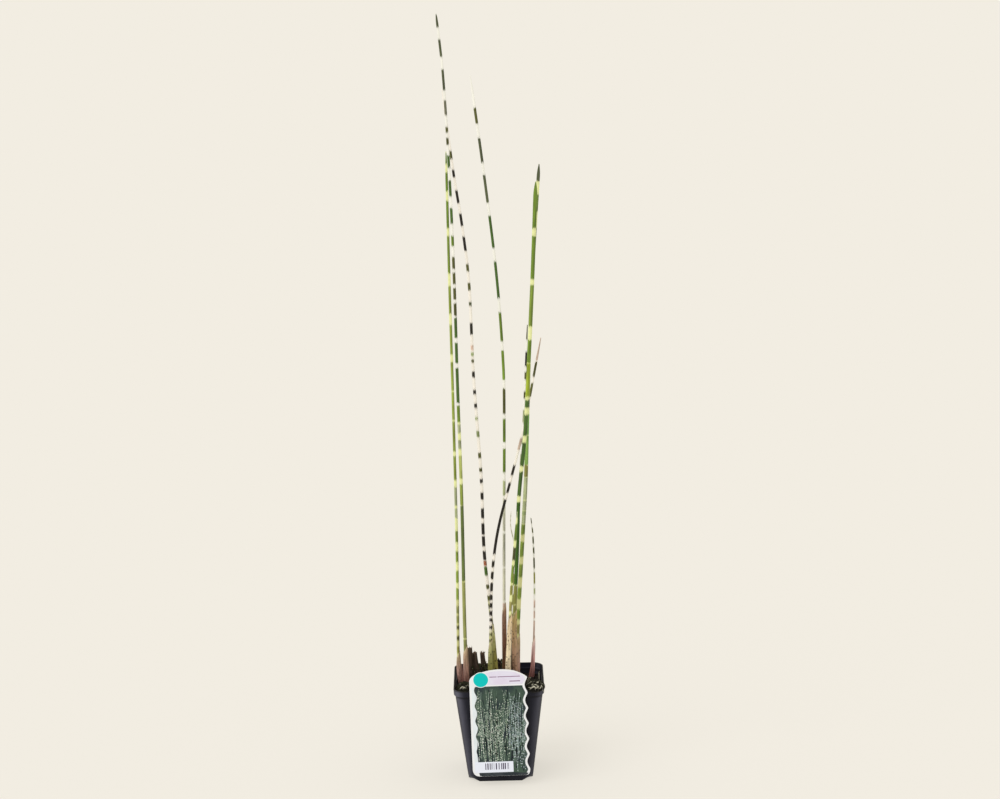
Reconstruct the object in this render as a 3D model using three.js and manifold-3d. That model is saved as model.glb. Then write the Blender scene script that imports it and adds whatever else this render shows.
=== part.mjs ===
// A potted zebra rush: banded culms rising from a square nursery pot of moist peat,
// with a picture label hooked over the front of the rim.
//
// Units are millimetres. +Z is up, -Y is the front, where the label hangs, and +X is the
// plant's right. The origin is the centre of the pot's foot, on the surface it stands on.

import * as THREE from "three";
import { mergeVertices } from "three/addons/utils/BufferGeometryUtils.js";
import Module from "manifold-3d";

const wasm = await Module();
wasm.setup();

// The gap left between pieces that touch
const GAP = 0.3;

// The pot: a square 9 cm nursery pot with a stepped collar
const POT = {
  height: 98,
  rimHalf: 45,
  collarBottomHalf: 44.6,
  collarHeight: 6,
  bodyTopHalf: 43.4,
  footHalf: 32,
  cornerRadius: 11,
  wall: 1.1,
  floor: 1.2,
  cornerLift: 2.5,
  footPadHalf: 22,
};
const DRAIN_HOLES = [
  { distance: 26, radius: 3 },
  { distance: 11, radius: 2.4 },
];

// The peat, level but for three low mounds
const SOIL_TOP = 87;
const MOUNDS = [
  { x: -30, y: -18, radiusX: 17, radiusY: 20, height: 5.5 },
  { x: 31, y: -30, radiusX: 14, radiusY: 15, height: 4.5 },
  { x: 8, y: 4, radiusX: 24, radiusY: 22, height: 2.2 },
];
const SOCKET_DEPTH = 9;
const SOCKET_GAP = 0.35;

// The label: a sheet with an arched top and a scalloped right edge, hung by a strap
const LABEL = {
  width: 57,
  height: 110.5,
  thickness: 0.7,
  bottomZ: 11,
  centreX: 1,
  lean: 0.9,
  shoulder: 99,
  crownRise: 6,
  crownRight: 0.78,
  crownLeft: 0.18,
  crownDrop: 3.4,
  footRadius: 8,
  footCorner: 4,
  scallopPitch: 15.9,
  scallopDepth: 2.7,
  scallopSharpness: 1.4,
  scallopSteps: 6,
  firstCrest: 6,
};
const STRAP = {
  width: 13,
  thickness: 0.8,
  frontBottomZ: 70,
  innerBottomZ: 64,
  innerTopY: -41,
  innerBottomY: -37.6,
};

// The centre line of each culm as points [x, y, z] from the peat to the tip, its radius at the
// peat and near the tip, how long its pointed tip is, and the sheath round its foot: the
// height of its mouth and how far it flares
const CULMS = [
  {
    name: "far_left",
    radius: 1.5,
    topRadius: 1.25,
    tipLength: 30,
    sheath: { mouth: 120, flare: 0.3 },
    route: [[-37.8, 8, 80], [-39.9, 8.4, 106], [-39.8, 9, 150], [-38.8, 11, 240], [-39.1, 15, 380],
      [-39.7, 19, 500], [-39.9, 24, 623]],
  },
  {
    name: "tallest",
    radius: 1.85,
    topRadius: 1.1,
    tipLength: 10,
    sheath: { mouth: 130, flare: 0.6 },
    route: [[-32.2, -4, 88], [-32.8, -5.5, 160], [-32.5, -9, 280], [-33.7, -14, 400],
      [-34.2, -19, 500], [-36, -24.5, 600], [-39.7, -30.5, 700], [-44.6, -34, 757]],
  },
  {
    name: "dotted",
    radius: 1.75,
    topRadius: 1.2,
    tipLength: 30,
    sheath: { mouth: 146, flare: 0.9 },
    route: [[-2.6, 8, 88], [-6.6, 9.5, 160], [-11.8, 12, 225], [-13.1, 15.5, 300], [-18.3, 21, 400],
      [-20.8, 27, 495], [-26.2, 30.5, 550], [-33.2, 34, 600], [-42.6, 40, 682]],
  },
  {
    name: "arching",
    radius: 1.6,
    topRadius: 1.1,
    tipLength: 30,
    sheath: { mouth: 134, flare: 0.6 },
    route: [[-8.6, -1, 88], [-6.6, 1, 158], [-3.8, 3.5, 208], [2.8, 6, 250], [16.5, 9.5, 300],
      [30, 13, 350], [40.6, 17, 400], [48.6, 20, 439]],
  },
  {
    name: "centre",
    radius: 1.5,
    topRadius: 1.3,
    tipLength: 30,
    sheath: { mouth: 165, flare: 0.1 },
    route: [[5.9, 18, 88], [7, 20.5, 170], [8.6, 24, 250], [10.9, 30, 350], [11.2, 34, 410],
      [6.3, 40, 500], [-4, 48, 600], [-15.2, 56, 694]],
  },
  {
    name: "right_back",
    radius: 2.2,
    topRadius: 1.6,
    tipLength: 12,
    sheath: { mouth: 138, flare: 0.1 },
    route: [[17.9, 3, 88], [20, 2.2, 147], [25.8, 0.6, 230], [30.9, -0.6, 300], [33.1, -1.5, 351],
      [37.2, -3, 440], [42, -4.4, 517], [49.4, -6, 612]],
  },
  {
    name: "right_front",
    radius: 1.8,
    topRadius: 1.95,
    tipLength: 14,
    sheath: { mouth: 168, flare: 0.1 },
    route: [[17.3, -8, 88], [16.6, -9.5, 150], [21.3, -12, 237], [23.6, -13.4, 285],
      [31.2, -15.3, 354], [36.7, -17.6, 436], [41.7, -19.9, 520], [45.6, -22, 597]],
  },
  {
    name: "right_thin",
    radius: 1.05,
    topRadius: 0.9,
    tipLength: 30,
    sheath: { mouth: 148, flare: 0.6 },
    route: [[13.3, 13, 88], [14.9, 14, 150], [18.8, 17, 220], [25.4, 22, 300], [30.3, 26, 360],
      [35.8, 32, 450]],
  },
  {
    name: "short_left",
    radius: 1.5,
    topRadius: 1.3,
    tipLength: 30,
    sheath: { mouth: 166, flare: 0.9 },
    route: [[8.3, -15, 88], [11.6, -17, 150], [14.8, -21, 200], [18.7, -26, 242], [21.8, -30, 276]],
  },
  {
    name: "wispy",
    radius: 0.75,
    topRadius: 0.6,
    tipLength: 30,
    sheath: { mouth: 112, flare: 0.4 },
    route: [[17.2, 14.5, 88], [17.8, 20, 150], [19.3, 25, 190], [18, 27, 229], [15.1, 27, 247],
      [15.9, 27, 262]],
  },
  {
    name: "far_right",
    radius: 0.95,
    topRadius: 0.8,
    tipLength: 30,
    sheath: { mouth: 130, flare: 0.6 },
    route: [[33.9, 26, 88], [36.8, 20, 146.5], [37.8, 14, 202.5], [36.9, 8, 243.5], [35.3, 5, 260.5]],
  },
];
const CULM_SIDES = 8;
const CULM_RING_SPACING = 38;
const TIP_RADIUS = 0.4;
const SHEATH_RINGS = 4;
const SHEATH_GAP = 0.3;
const SHEATH_THICKNESS = 0.3;
const SHEATH_MOUTH_SLANT = 4;

// Old culms cut off short: foot [x, y], top [x, y, z], and the radii there
const STUBS = [
  { name: "cut_stub_left", foot: [-27.6, 6.4], top: [-28.5, 9, 126], footRadius: 2.8, topRadius: 2.3 },
  { name: "cut_stub_middle", foot: [-20.2, 8.2], top: [-24.2, 12.5, 119.5], footRadius: 3.8, topRadius: 2.7 },
  { name: "cut_stub_right", foot: [-13.6, 16], top: [-16.1, 18, 118], footRadius: 3.6, topRadius: 2.3 },
  { name: "cut_stub_back", foot: [-0.2, 26], top: [0.6, 27, 105], footRadius: 2.6, topRadius: 2.1 },
];

// Moss cushions as ellipsoids on the peat
const MOSSES = [
  { name: "moss_left", centre: [-34.5, -21, 92], radii: [8, 13, 6.5] },
  { name: "moss_right", centre: [35.4, -34, 98], radii: [9.2, 13.5, 5] },
];

// Grains of perlite: [x, y] and radius
const GRAINS = [
  { x: 38.4, y: -16, radius: 1.3 },
  { x: 26.6, y: -12.4, radius: 1.5 },
  { x: -24.6, y: -6.2, radius: 1.2 },
];

const COLOUR = {
  pot: 0x34343c,
  peat: 0x2a211b,
  label: 0xf2f1ee,
  strap: 0xe8e8e4,
  culm: 0x8a9a45,
  sheath: 0x9a7a6c,
  stub: 0x2e2620,
  moss: 0x5a6440,
  grain: 0xc9ccbf,
};

const wallSlope = (POT.bodyTopHalf - POT.footHalf) / (POT.height - POT.collarHeight);
const socketBottom = SOIL_TOP - SOCKET_DEPTH;

// Half the body's outside width at height z
function bodyHalf(z) {
  return POT.footHalf + wallSlope * z;
}

// A closed solid from a closed geometry
function solidFrom(geometry) {
  const bare = geometry.clone();
  bare.deleteAttribute("normal");
  bare.deleteAttribute("uv");
  const merged = mergeVertices(bare, 1e-4);
  const mesh = new wasm.Mesh({
    numProp: 3,
    vertProperties: Float32Array.from(merged.attributes.position.array),
    triVerts: Uint32Array.from(merged.index.array),
  });
  return new wasm.Manifold(mesh);
}

// A geometry from a closed solid
function geometryFrom(solid) {
  const mesh = solid.getMesh();
  const geometry = new THREE.BufferGeometry();
  geometry.setAttribute("position", new THREE.BufferAttribute(mesh.vertProperties.slice(), 3));
  geometry.setIndex(new THREE.BufferAttribute(mesh.triVerts.slice(), 1));
  return geometry;
}

// Moves every vertex of a geometry by a rule
function reshape(geometry, rule) {
  const position = geometry.attributes.position;
  const vertex = new THREE.Vector3();
  for (let i = 0; i < position.count; i += 1) {
    vertex.fromBufferAttribute(position, i);
    rule(vertex);
    position.setXYZ(i, vertex.x, vertex.y, vertex.z);
  }
  return geometry;
}

// A square with round corners
function roundedSquare(half, radius) {
  const inner = half - radius;
  const shape = new THREE.Shape();
  shape.absarc(inner, inner, radius, 0, Math.PI / 2);
  shape.absarc(-inner, inner, radius, Math.PI / 2, Math.PI);
  shape.absarc(-inner, -inner, radius, Math.PI, 1.5 * Math.PI);
  shape.absarc(inner, -inner, radius, 1.5 * Math.PI, 2 * Math.PI);
  return shape;
}

// A block between two heights that narrows downwards
function taperedBlock(lowHalf, highHalf, radius, low, high) {
  const geometry = new THREE.ExtrudeGeometry(roundedSquare(highHalf, radius), {
    depth: high - low,
    bevelEnabled: false,
    curveSegments: 5,
  });
  reshape(geometry, (vertex) => {
    const scale = THREE.MathUtils.lerp(lowHalf / highHalf, 1, vertex.z / (high - low));
    vertex.set(vertex.x * scale, vertex.y * scale, vertex.z + low);
  });
  return solidFrom(geometry);
}

function box(sizeX, sizeY, low, high, x = 0, y = 0) {
  const geometry = new THREE.BoxGeometry(sizeX, sizeY, high - low);
  geometry.translate(x, y, (low + high) / 2);
  return solidFrom(geometry);
}

function upright(x, y, radius, low, high, sides = 12) {
  const geometry = new THREE.CylinderGeometry(radius, radius, high - low, sides);
  geometry.rotateX(Math.PI / 2);
  geometry.translate(x, y, (low + high) / 2);
  return solidFrom(geometry);
}

function ellipsoid([x, y, z], [radiusX, radiusY, radiusZ], across = 14, down = 8) {
  const geometry = new THREE.SphereGeometry(1, across, down);
  geometry.rotateX(Math.PI / 2);
  geometry.scale(radiusX, radiusY, radiusZ);
  geometry.translate(x, y, z);
  return solidFrom(geometry);
}

// The body's block between two heights, grown outwards by an amount
function bodyBlock(grow, low, high) {
  const radius = POT.cornerRadius + grow;
  return taperedBlock(bodyHalf(low) + grow, bodyHalf(high) + grow, radius, low, high);
}

// The space inside the collar, a little wider than the body's
function collarSpace(shrink) {
  const half = POT.collarBottomHalf - POT.wall - shrink;
  const low = POT.height - POT.collarHeight + POT.wall;
  return taperedBlock(half, half + 0.3, POT.cornerRadius - POT.wall, low, POT.height + 10);
}

// The outside of the pot as one block, grown by an amount
function potOutside(grow) {
  const collarLow = POT.height - POT.collarHeight;
  const body = bodyBlock(grow, 0, collarLow);
  const collar = taperedBlock(
    POT.collarBottomHalf + grow,
    POT.rimHalf + grow,
    POT.cornerRadius + grow,
    collarLow - grow,
    POT.height + grow,
  );
  return body.add(collar);
}

function makePot() {
  const collarLow = POT.height - POT.collarHeight;
  const floorTop = POT.cornerLift + POT.floor;
  const armWidth = 2 * (POT.footPadHalf - POT.wall);
  const armLength = 2 * (bodyHalf(0) - POT.wall);
  let pot = potOutside(0);
  pot = pot.subtract(bodyBlock(-POT.wall, floorTop, collarLow + POT.wall + 0.01));
  pot = pot.subtract(collarSpace(0));
  pot = pot.subtract(box(armWidth, armLength, POT.floor, floorTop + 0.01));
  pot = pot.subtract(box(armLength, armWidth, POT.floor, floorTop + 0.01));
  const cornerOffset = POT.footPadHalf + POT.footHalf / 2;
  for (const signX of [-1, 1]) {
    for (const signY of [-1, 1]) {
      const x = signX * cornerOffset;
      const y = signY * cornerOffset;
      pot = pot.subtract(box(POT.footHalf, POT.footHalf, -1, POT.cornerLift, x, y));
      for (const hole of DRAIN_HOLES) {
        const holeX = signX * hole.distance;
        const holeY = signY * hole.distance;
        pot = pot.subtract(upright(holeX, holeY, hole.radius, -1, floorTop + 1));
      }
    }
  }
  return pot;
}

// The peat before its sockets are cut
function makePeat() {
  const low = POT.cornerLift + POT.floor + GAP;
  const high = POT.height - POT.collarHeight;
  const inside = bodyBlock(-POT.wall - GAP, low, high + 2);
  let peat = bodyBlock(-POT.wall - GAP, low, SOIL_TOP);
  for (const mound of MOUNDS) {
    const centre = [mound.x, mound.y, SOIL_TOP];
    peat = peat.add(ellipsoid(centre, [mound.radiusX, mound.radiusY, mound.height], 18, 10));
  }
  return peat.intersect(inside);
}

// The peat's height at a place
function peatHeight(x, y) {
  let height = SOIL_TOP;
  for (const mound of MOUNDS) {
    const across = ((x - mound.x) / mound.radiusX) ** 2 + ((y - mound.y) / mound.radiusY) ** 2;
    if (across < 1) {
      height = Math.max(height, SOIL_TOP + mound.height * Math.sqrt(1 - across));
    }
  }
  return height;
}

// The slope of a route at one of its points
function routeSlope(route, index, axis) {
  const before = route[Math.max(index - 1, 0)];
  const after = route[Math.min(index + 1, route.length - 1)];
  return (after[axis] - before[axis]) / (after[2] - before[2]);
}

// Where a route's centre is at height z: a smooth curve through its points
function routeAt(route, z) {
  const last = route.length - 1;
  if (z <= route[0][2]) {
    return [route[0][0], route[0][1]];
  }
  if (z >= route[last][2]) {
    return [route[last][0], route[last][1]];
  }
  let index = 0;
  while (z > route[index + 1][2]) {
    index += 1;
  }
  const [from, to] = [route[index], route[index + 1]];
  const span = to[2] - from[2];
  const t = (z - from[2]) / span;
  const place = (axis) => {
    const rise = span * routeSlope(route, index, axis);
    const fall = span * routeSlope(route, index + 1, axis);
    return (2 * t ** 3 - 3 * t ** 2 + 1) * from[axis] + (t ** 3 - 2 * t ** 2 + t) * rise
      + (3 * t ** 2 - 2 * t ** 3) * to[axis] + (t ** 3 - t ** 2) * fall;
  };
  return [place(0), place(1)];
}

// A culm's radius at height z: it thins slowly, and then fast over its tip
function culmRadius(culm, z) {
  const tip = culm.route[culm.route.length - 1][2];
  const climb = Math.max(z - SOIL_TOP, 0) / (tip - SOIL_TOP);
  const body = THREE.MathUtils.lerp(culm.radius, culm.topRadius, climb);
  const reach = Math.min((tip - z) / culm.tipLength, 1);
  return TIP_RADIUS + (body - TIP_RADIUS) * Math.sin(reach * Math.PI / 2);
}

// Turns a profile of [radius, height] into a solid of revolution about a bent centre line
function turnAlong(profile, route, sides) {
  const points = profile.map(([radius, height]) => new THREE.Vector2(radius, height));
  const geometry = new THREE.LatheGeometry(points, sides);
  geometry.rotateX(Math.PI / 2);
  return reshape(geometry, (vertex) => {
    const [x, y] = routeAt(route, vertex.z);
    vertex.x += x;
    vertex.y += y;
  });
}

// Even heights from one level to another
function evenHeights(low, high, count) {
  return Array.from({ length: count + 1 }, (_, i) => THREE.MathUtils.lerp(low, high, i / count));
}

// The heights that a sheath and the culm inside it share
function sheathHeights(culm) {
  return evenHeights(socketBottom, culm.sheath.mouth, SHEATH_RINGS);
}

function makeCulm(culm) {
  const tip = culm.route[culm.route.length - 1][2];
  const neck = tip - culm.tipLength;
  const rings = Math.max(Math.round((neck - culm.sheath.mouth) / CULM_RING_SPACING), 1);
  const above = evenHeights(culm.sheath.mouth, neck, rings).slice(1);
  const profile = [[0, socketBottom]];
  for (const height of [...sheathHeights(culm), ...above, neck + culm.tipLength / 2, tip]) {
    profile.push([culmRadius(culm, height), height]);
  }
  profile.push([0, tip]);
  return turnAlong(profile, culm.route, CULM_SIDES);
}

// The outside of a sheath at height z
function sheathOuter(culm, z) {
  const part = THREE.MathUtils.clamp((culm.sheath.mouth - z) / (culm.sheath.mouth - SOIL_TOP), 0, 1);
  return culm.radius + SHEATH_GAP + SHEATH_THICKNESS + culm.sheath.flare * part ** 1.5;
}

// A sheath: a sleeve round the foot of a culm, its mouth cut at a slant
function makeSheath(culm) {
  const inner = culm.radius + SHEATH_GAP;
  const outside = sheathHeights(culm).map((height) => [sheathOuter(culm, height), height]);
  const inside = outside.map(([, height]) => [inner, height]).reverse();
  const geometry = turnAlong([...outside, ...inside, outside[0]], culm.route, CULM_SIDES);
  return reshape(geometry, (vertex) => {
    if (vertex.z > culm.sheath.mouth - 1e-3) {
      const [x] = routeAt(culm.route, vertex.z);
      vertex.z += SHEATH_MOUTH_SLANT * (vertex.x - x) / sheathOuter(culm, vertex.z);
    }
  });
}

// The socket in the peat that takes a culm and its sheath, cut clear to the air above
function socketFor(culm) {
  const radius = sheathOuter(culm, SOIL_TOP) + SOCKET_GAP;
  const heights = sheathHeights(culm);
  const profile = [[0, socketBottom - GAP], [radius, socketBottom - GAP]];
  for (const height of heights.slice(1)) {
    profile.push([radius, height]);
  }
  profile.push([0, culm.sheath.mouth]);
  return solidFrom(turnAlong(profile, culm.route, CULM_SIDES));
}

// A stub's centre line and its solid, grown by an amount
function stubSolid(stub, grow) {
  const [topX, topY, topZ] = stub.top;
  const route = [[...stub.foot, SOIL_TOP], [topX, topY, topZ]];
  const profile = [
    [0, socketBottom - grow],
    [stub.footRadius + grow, socketBottom - grow],
    [stub.footRadius + grow, SOIL_TOP],
    [stub.topRadius + grow, topZ],
    [0, topZ],
  ];
  return turnAlong(profile, route, 10);
}

// The label's outline, from the bottom left corner round to the top
function labelShape() {
  const { width, height, shoulder, crownRise, footRadius, firstCrest, scallopPitch } = LABEL;
  const crownRight = width * LABEL.crownRight;
  const crownLeft = width * LABEL.crownLeft;
  const shape = new THREE.Shape();
  shape.moveTo(0, footRadius);
  shape.quadraticCurveTo(0, 0, footRadius, 0);
  shape.lineTo(width - LABEL.footCorner, 0);
  shape.quadraticCurveTo(width - 0.5, 0, width, firstCrest);
  const scallops = Math.floor((shoulder - firstCrest) / scallopPitch) + 1;
  for (let i = 1; i <= scallops * LABEL.scallopSteps; i += 1) {
    const turn = i / LABEL.scallopSteps;
    const swell = Math.abs(Math.sin(Math.PI * turn)) ** LABEL.scallopSharpness;
    shape.lineTo(width - LABEL.scallopDepth * swell, firstCrest + turn * scallopPitch);
  }
  shape.quadraticCurveTo(width - 3, shoulder + crownRise, crownRight, height - 2);
  shape.quadraticCurveTo(width / 2, height + 2, crownLeft, height - LABEL.crownDrop);
  shape.quadraticCurveTo(1, height - crownRise, 0, shoulder);
  shape.closePath();
  return shape;
}

// The label hangs upright in front of the strap
function makeLabel() {
  const geometry = new THREE.ExtrudeGeometry(labelShape(), {
    depth: LABEL.thickness,
    bevelEnabled: false,
    curveSegments: 5,
  });
  const front = POT.rimHalf + GAP + STRAP.thickness + GAP;
  geometry.translate(-LABEL.width / 2, 0, 0);
  geometry.rotateZ(THREE.MathUtils.degToRad(LABEL.lean));
  geometry.rotateX(Math.PI / 2);
  geometry.translate(LABEL.centreX, -front, LABEL.bottomZ);
  return geometry;
}

// The strap's side view [y, z], grown by an amount: up behind the label, over the rim and
// down into the peat
function strapOutline(grow) {
  const thick = STRAP.thickness;
  const outerY = -(POT.rimHalf + GAP + thick);
  const topZ = POT.height + GAP + thick;
  const lean = (STRAP.innerBottomY - STRAP.innerTopY) / (topZ - STRAP.innerBottomZ);
  return [
    [outerY - grow, STRAP.frontBottomZ - grow],
    [outerY - grow, topZ + grow],
    [STRAP.innerTopY + thick + grow, topZ + grow],
    [STRAP.innerBottomY + thick + grow, STRAP.innerBottomZ - grow],
    [STRAP.innerBottomY - grow, STRAP.innerBottomZ - grow],
    [STRAP.innerTopY + lean * thick - grow, topZ - thick - grow],
    [outerY + thick + grow, topZ - thick - grow],
    [outerY + thick + grow, STRAP.frontBottomZ - grow],
  ];
}

function strapSolid(grow) {
  const outline = strapOutline(grow).map(([y, z]) => new THREE.Vector2(y, z));
  const width = STRAP.width + 2 * grow;
  const geometry = new THREE.ExtrudeGeometry(new THREE.Shape(outline), {
    depth: width,
    bevelEnabled: false,
  });
  // The outline's plane is turned so that its first axis is Y and its second is Z
  geometry.rotateX(Math.PI / 2);
  geometry.rotateZ(Math.PI / 2);
  geometry.translate(LABEL.centreX - width / 2, 0, 0);
  return solidFrom(geometry);
}

// What the moss keeps clear of: the peat, the pot's walls and the label
function aroundMoss(peat) {
  const front = POT.rimHalf + GAP;
  const right = LABEL.centreX + LABEL.width / 2 + 1;
  const wallInside = collarSpace(GAP).add(bodyBlock(-POT.wall - 3 * GAP, 50, 99));
  return potOutside(GAP)
    .subtract(wallInside)
    .add(peat.translate([0, 0, GAP]))
    .add(box(100, 100, 0, SOIL_TOP + GAP))
    .add(box(2 * right, 40, 0, 130, 0, -front - 20));
}

// A moss cushion, cut where it meets its neighbours
function makeMoss(moss, peat) {
  return ellipsoid(moss.centre, moss.radii, 16, 10).subtract(aroundMoss(peat));
}

function makeGrain(grain, peat) {
  const z = peatHeight(grain.x, grain.y) + grain.radius * 0.7 + GAP;
  const radii = [grain.radius, grain.radius * 0.85, grain.radius * 0.75];
  return ellipsoid([grain.x, grain.y, z], radii, 8, 5).subtract(peat.translate([0, 0, GAP]));
}

function named(name, geometry, colour, roughness) {
  const material = new THREE.MeshStandardMaterial({ color: colour, roughness, metalness: 0 });
  const mesh = new THREE.Mesh(geometry, material);
  mesh.name = name;
  return mesh;
}

function buildPlant() {
  const plant = new THREE.Group();
  const barePeat = makePeat();
  let peat = barePeat;
  for (const culm of CULMS) {
    peat = peat.subtract(socketFor(culm));
  }
  for (const stub of STUBS) {
    peat = peat.subtract(solidFrom(stubSolid(stub, SOCKET_GAP)));
  }
  peat = peat.subtract(strapSolid(GAP));

  plant.add(named("pot", geometryFrom(makePot()), COLOUR.pot, 0.55));
  plant.add(named("peat", geometryFrom(peat), COLOUR.peat, 0.95));
  plant.add(named("label_sheet", makeLabel(), COLOUR.label, 0.4));
  plant.add(named("label_strap", geometryFrom(strapSolid(0)), COLOUR.strap, 0.4));
  for (const culm of CULMS) {
    plant.add(named(`culm_${culm.name}`, makeCulm(culm), COLOUR.culm, 0.5));
    plant.add(named(`sheath_${culm.name}`, makeSheath(culm), COLOUR.sheath, 0.7));
  }
  for (const stub of STUBS) {
    plant.add(named(stub.name, stubSolid(stub, 0), COLOUR.stub, 0.9));
  }
  for (const moss of MOSSES) {
    plant.add(named(moss.name, geometryFrom(makeMoss(moss, barePeat)), COLOUR.moss, 0.95));
  }
  GRAINS.forEach((grain, index) => {
    const geometry = geometryFrom(makeGrain(grain, barePeat));
    plant.add(named(`perlite_grain_${index + 1}`, geometry, COLOUR.grain, 0.9));
  });
  return plant;
}

export default buildPlant();
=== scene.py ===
"""Potted zebra rush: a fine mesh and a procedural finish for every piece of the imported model.

Building code works in millimetres, in the model's own frame: the origin is the centre of the
pot's foot, -Y is the front and +Z is up. new_mesh turns the points into metres.
"""

import math
import random
from collections import defaultdict, namedtuple

import bmesh
import bpy
import numpy as np
from bpy.props import FloatProperty, FloatVectorProperty, IntProperty, PointerProperty
from mathutils import Matrix, Vector
from mathutils import noise as field


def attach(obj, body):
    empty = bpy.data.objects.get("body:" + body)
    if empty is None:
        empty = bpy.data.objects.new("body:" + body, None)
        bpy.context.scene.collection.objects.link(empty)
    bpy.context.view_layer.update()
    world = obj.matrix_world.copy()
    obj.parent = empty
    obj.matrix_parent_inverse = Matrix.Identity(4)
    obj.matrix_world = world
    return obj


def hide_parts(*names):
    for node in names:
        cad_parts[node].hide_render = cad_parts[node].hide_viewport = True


bl_info = {
    "name": "Potted Zebra Rush",
    "version": (1, 0, 0),
    "blender": (4, 5, 0),
    "location": "3D Viewport > Sidebar > Zebra Rush",
    "description": "Builds a potted zebra rush: pot, peat, banded culms, sheaths, moss and plant label",
    "category": "Add Mesh",
}

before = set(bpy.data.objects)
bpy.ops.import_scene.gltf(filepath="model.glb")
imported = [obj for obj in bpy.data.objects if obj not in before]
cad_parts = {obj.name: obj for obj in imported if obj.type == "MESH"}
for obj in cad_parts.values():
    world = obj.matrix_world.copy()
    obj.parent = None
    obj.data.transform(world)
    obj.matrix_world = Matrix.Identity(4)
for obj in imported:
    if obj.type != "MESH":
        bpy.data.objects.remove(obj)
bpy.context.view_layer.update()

MM = 0.001
BODY = "root"

# The pot and what fills it
PEAT_TOP = 87.0
PEAT_FLOOR = 4.0
HIGHEST_EDGE = 4.5
WALL_GAP = 0.3
FOOT_PAD_HALF = 22.0
CORNER_LIFT = 2.5
CORNER_SLOPE = 3.5
FOOT_HEIGHT = 6
FLOOR_TOP = 1.2
POT_TAPER = 0.124
DRAIN_HOLES = ((26.0, 3.0), (11.0, 2.4))
MOUNDS = ((-30, -18, 17, 20, 5.5), (31, -30, 14, 15, 4.5), (8, 4, 24, 22, 2.2))

# The label: its outline is drawn from its lower left corner, u to the right and w up. Moss that
# lies less far right than its reach keeps behind it
LABEL_WIDTH = 57.0
LABEL_FOOT = (1.0, 11.0)
LABEL_LEAN = math.radians(0.9)
LABEL_FRONT = -47.1
LABEL_BACK = -46.4
LABEL_REACH = 31
SCALLOP_PITCH = 15.9
SCALLOP_DEPTH = 2.7
FIRST_CREST = 6.0
SCALLOPS = 6
SCALLOP_SHARPNESS = 1.4
SHOULDER_HEIGHT = 99
CROWN_RIGHT = (44.46, 108.5)
CROWN_LEFT = (10.26, 107.1)
SHEET_EDGE = 0.12

# The label's printing: how thick a layer of ink is, spans from w to w, the disc's centre, and
# rectangles as their left, right, low and high sides
INK_LAYER = 0.03
MARGIN_SPAN = (6, 92)
PICTURE_SPAN = (0.5, 93.2)
HEADER_FOOT = 94.6
DISC_CENTRE = (11.4, 100.1)
DISC_RADIUS = 7.3
HALO_RADIUS = 7.9
RULES = ((20, 27, 102.3, 103.1), (28, 50, 102.3, 103.1), (39.5, 50, 97.4, 98.4))
FOOT_STRIP = ((9, 0.15), (52.8, 0.15), (54.4, 0.9), (55, 2.4), (40, 3.4), (6, 3.4), (7, 1.2))
BAR_BOX = (2.4, 40.4, 3.9, 15)
BARS = (12.6, 36, 6.9, 13.5)

# The strap that hooks over the rim, as [y, z] points round its section, and its place along X
STRAP_SECTION = (
    (-46.1, 70), (-45.3, 70), (-45.3, 98.3), (-41, 98.3), (-37.6, 64), (-36.8, 64.1),
    (-40.2, 99.1), (-46.1, 99.1),
)
STRAP_SPAN = (-5.5, 7.5)

# What all culms and sheaths share
CULM_FOOT = 80.0
TIP_RADIUS = 0.4
SHEATH_FOOT = 80.0
SHEATH_GAP = 0.3
SHEATH_THICKNESS = 0.3
SHEATH_SLANT = 4.0
STUB_FOOT = 80.0
STUB_SWELL = 0.16

Culm = namedtuple("Culm", "name radius top_radius tip_length pale route rhythm")
Sheath = namedtuple("Sheath", "mouth flare tints spots scales")
Stub = namedtuple("Stub", "name foot top foot_radius top_radius")
Moss = namedtuple("Moss", "name centre radii shoots strands curls")

# Colours of the culms' green stretches, and of the pale bands between them
PIGMENTS = {
    "black_brown": "#1e1a12",
    "dark_olive": "#4f5127",
    "grey_olive": "#4f563b",
    "ash_olive": "#6b6b58",
    "deep_green": "#415f24",
    "forest": "#33560f",
    "green": "#657f29",
    "leaf_green": "#6fa04a",
    "light_green": "#82a652",
    "bright_green": "#879740",
    "lime": "#94a52e",
    "moss_olive": "#6f8333",
    "spring_olive": "#768936",
    "olive": "#80803f",
    "dull_green": "#5f6f38",
    "olive_lime": "#858a50",
    "fawn": "#86804a",
    "yellow_green": "#aeb868",
    "sage": "#a4ad84",
    "grey_green": "#8c9a6a",
    "silver": "#bdbdab",
    "rust": "#8a5238",
    "tan_pink": "#cdb4a5",
    "ash_pink": "#b9a596",
}
PALE_BANDS = {
    "cream": "#f6f6f0",
    "yellow": "#e9eeae",
    "pink_cream": "#f8f3ec",
    "straw": "#cfcf92",
}

# Shades that the finishes mix in
# Painted shadow under the pot's collar ledge
POT_LEDGE_SHADOW = "#0e0d12"
POT_LIP = "#15140f"
CULM_SPECK = "#b9bf7a"
SHEATH_SMEAR = "#5a5a2a"
SHEATH_BLOT = "#33281a"
STUB_ASH = "#57504c"
STUB_WALL = "#43362d"
STUB_PITH = "#66523f"
STUB_FIBRE = "#4a3a30"
STUB_SOIL = "#1d1712"
STUB_FLECK = "#8f9a7c"
PERLITE_WHITE = "#d9dccb"
PERLITE_STAIN = "#7f7a62"
HANDLING_MARK = "#b9b2a6"

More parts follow.
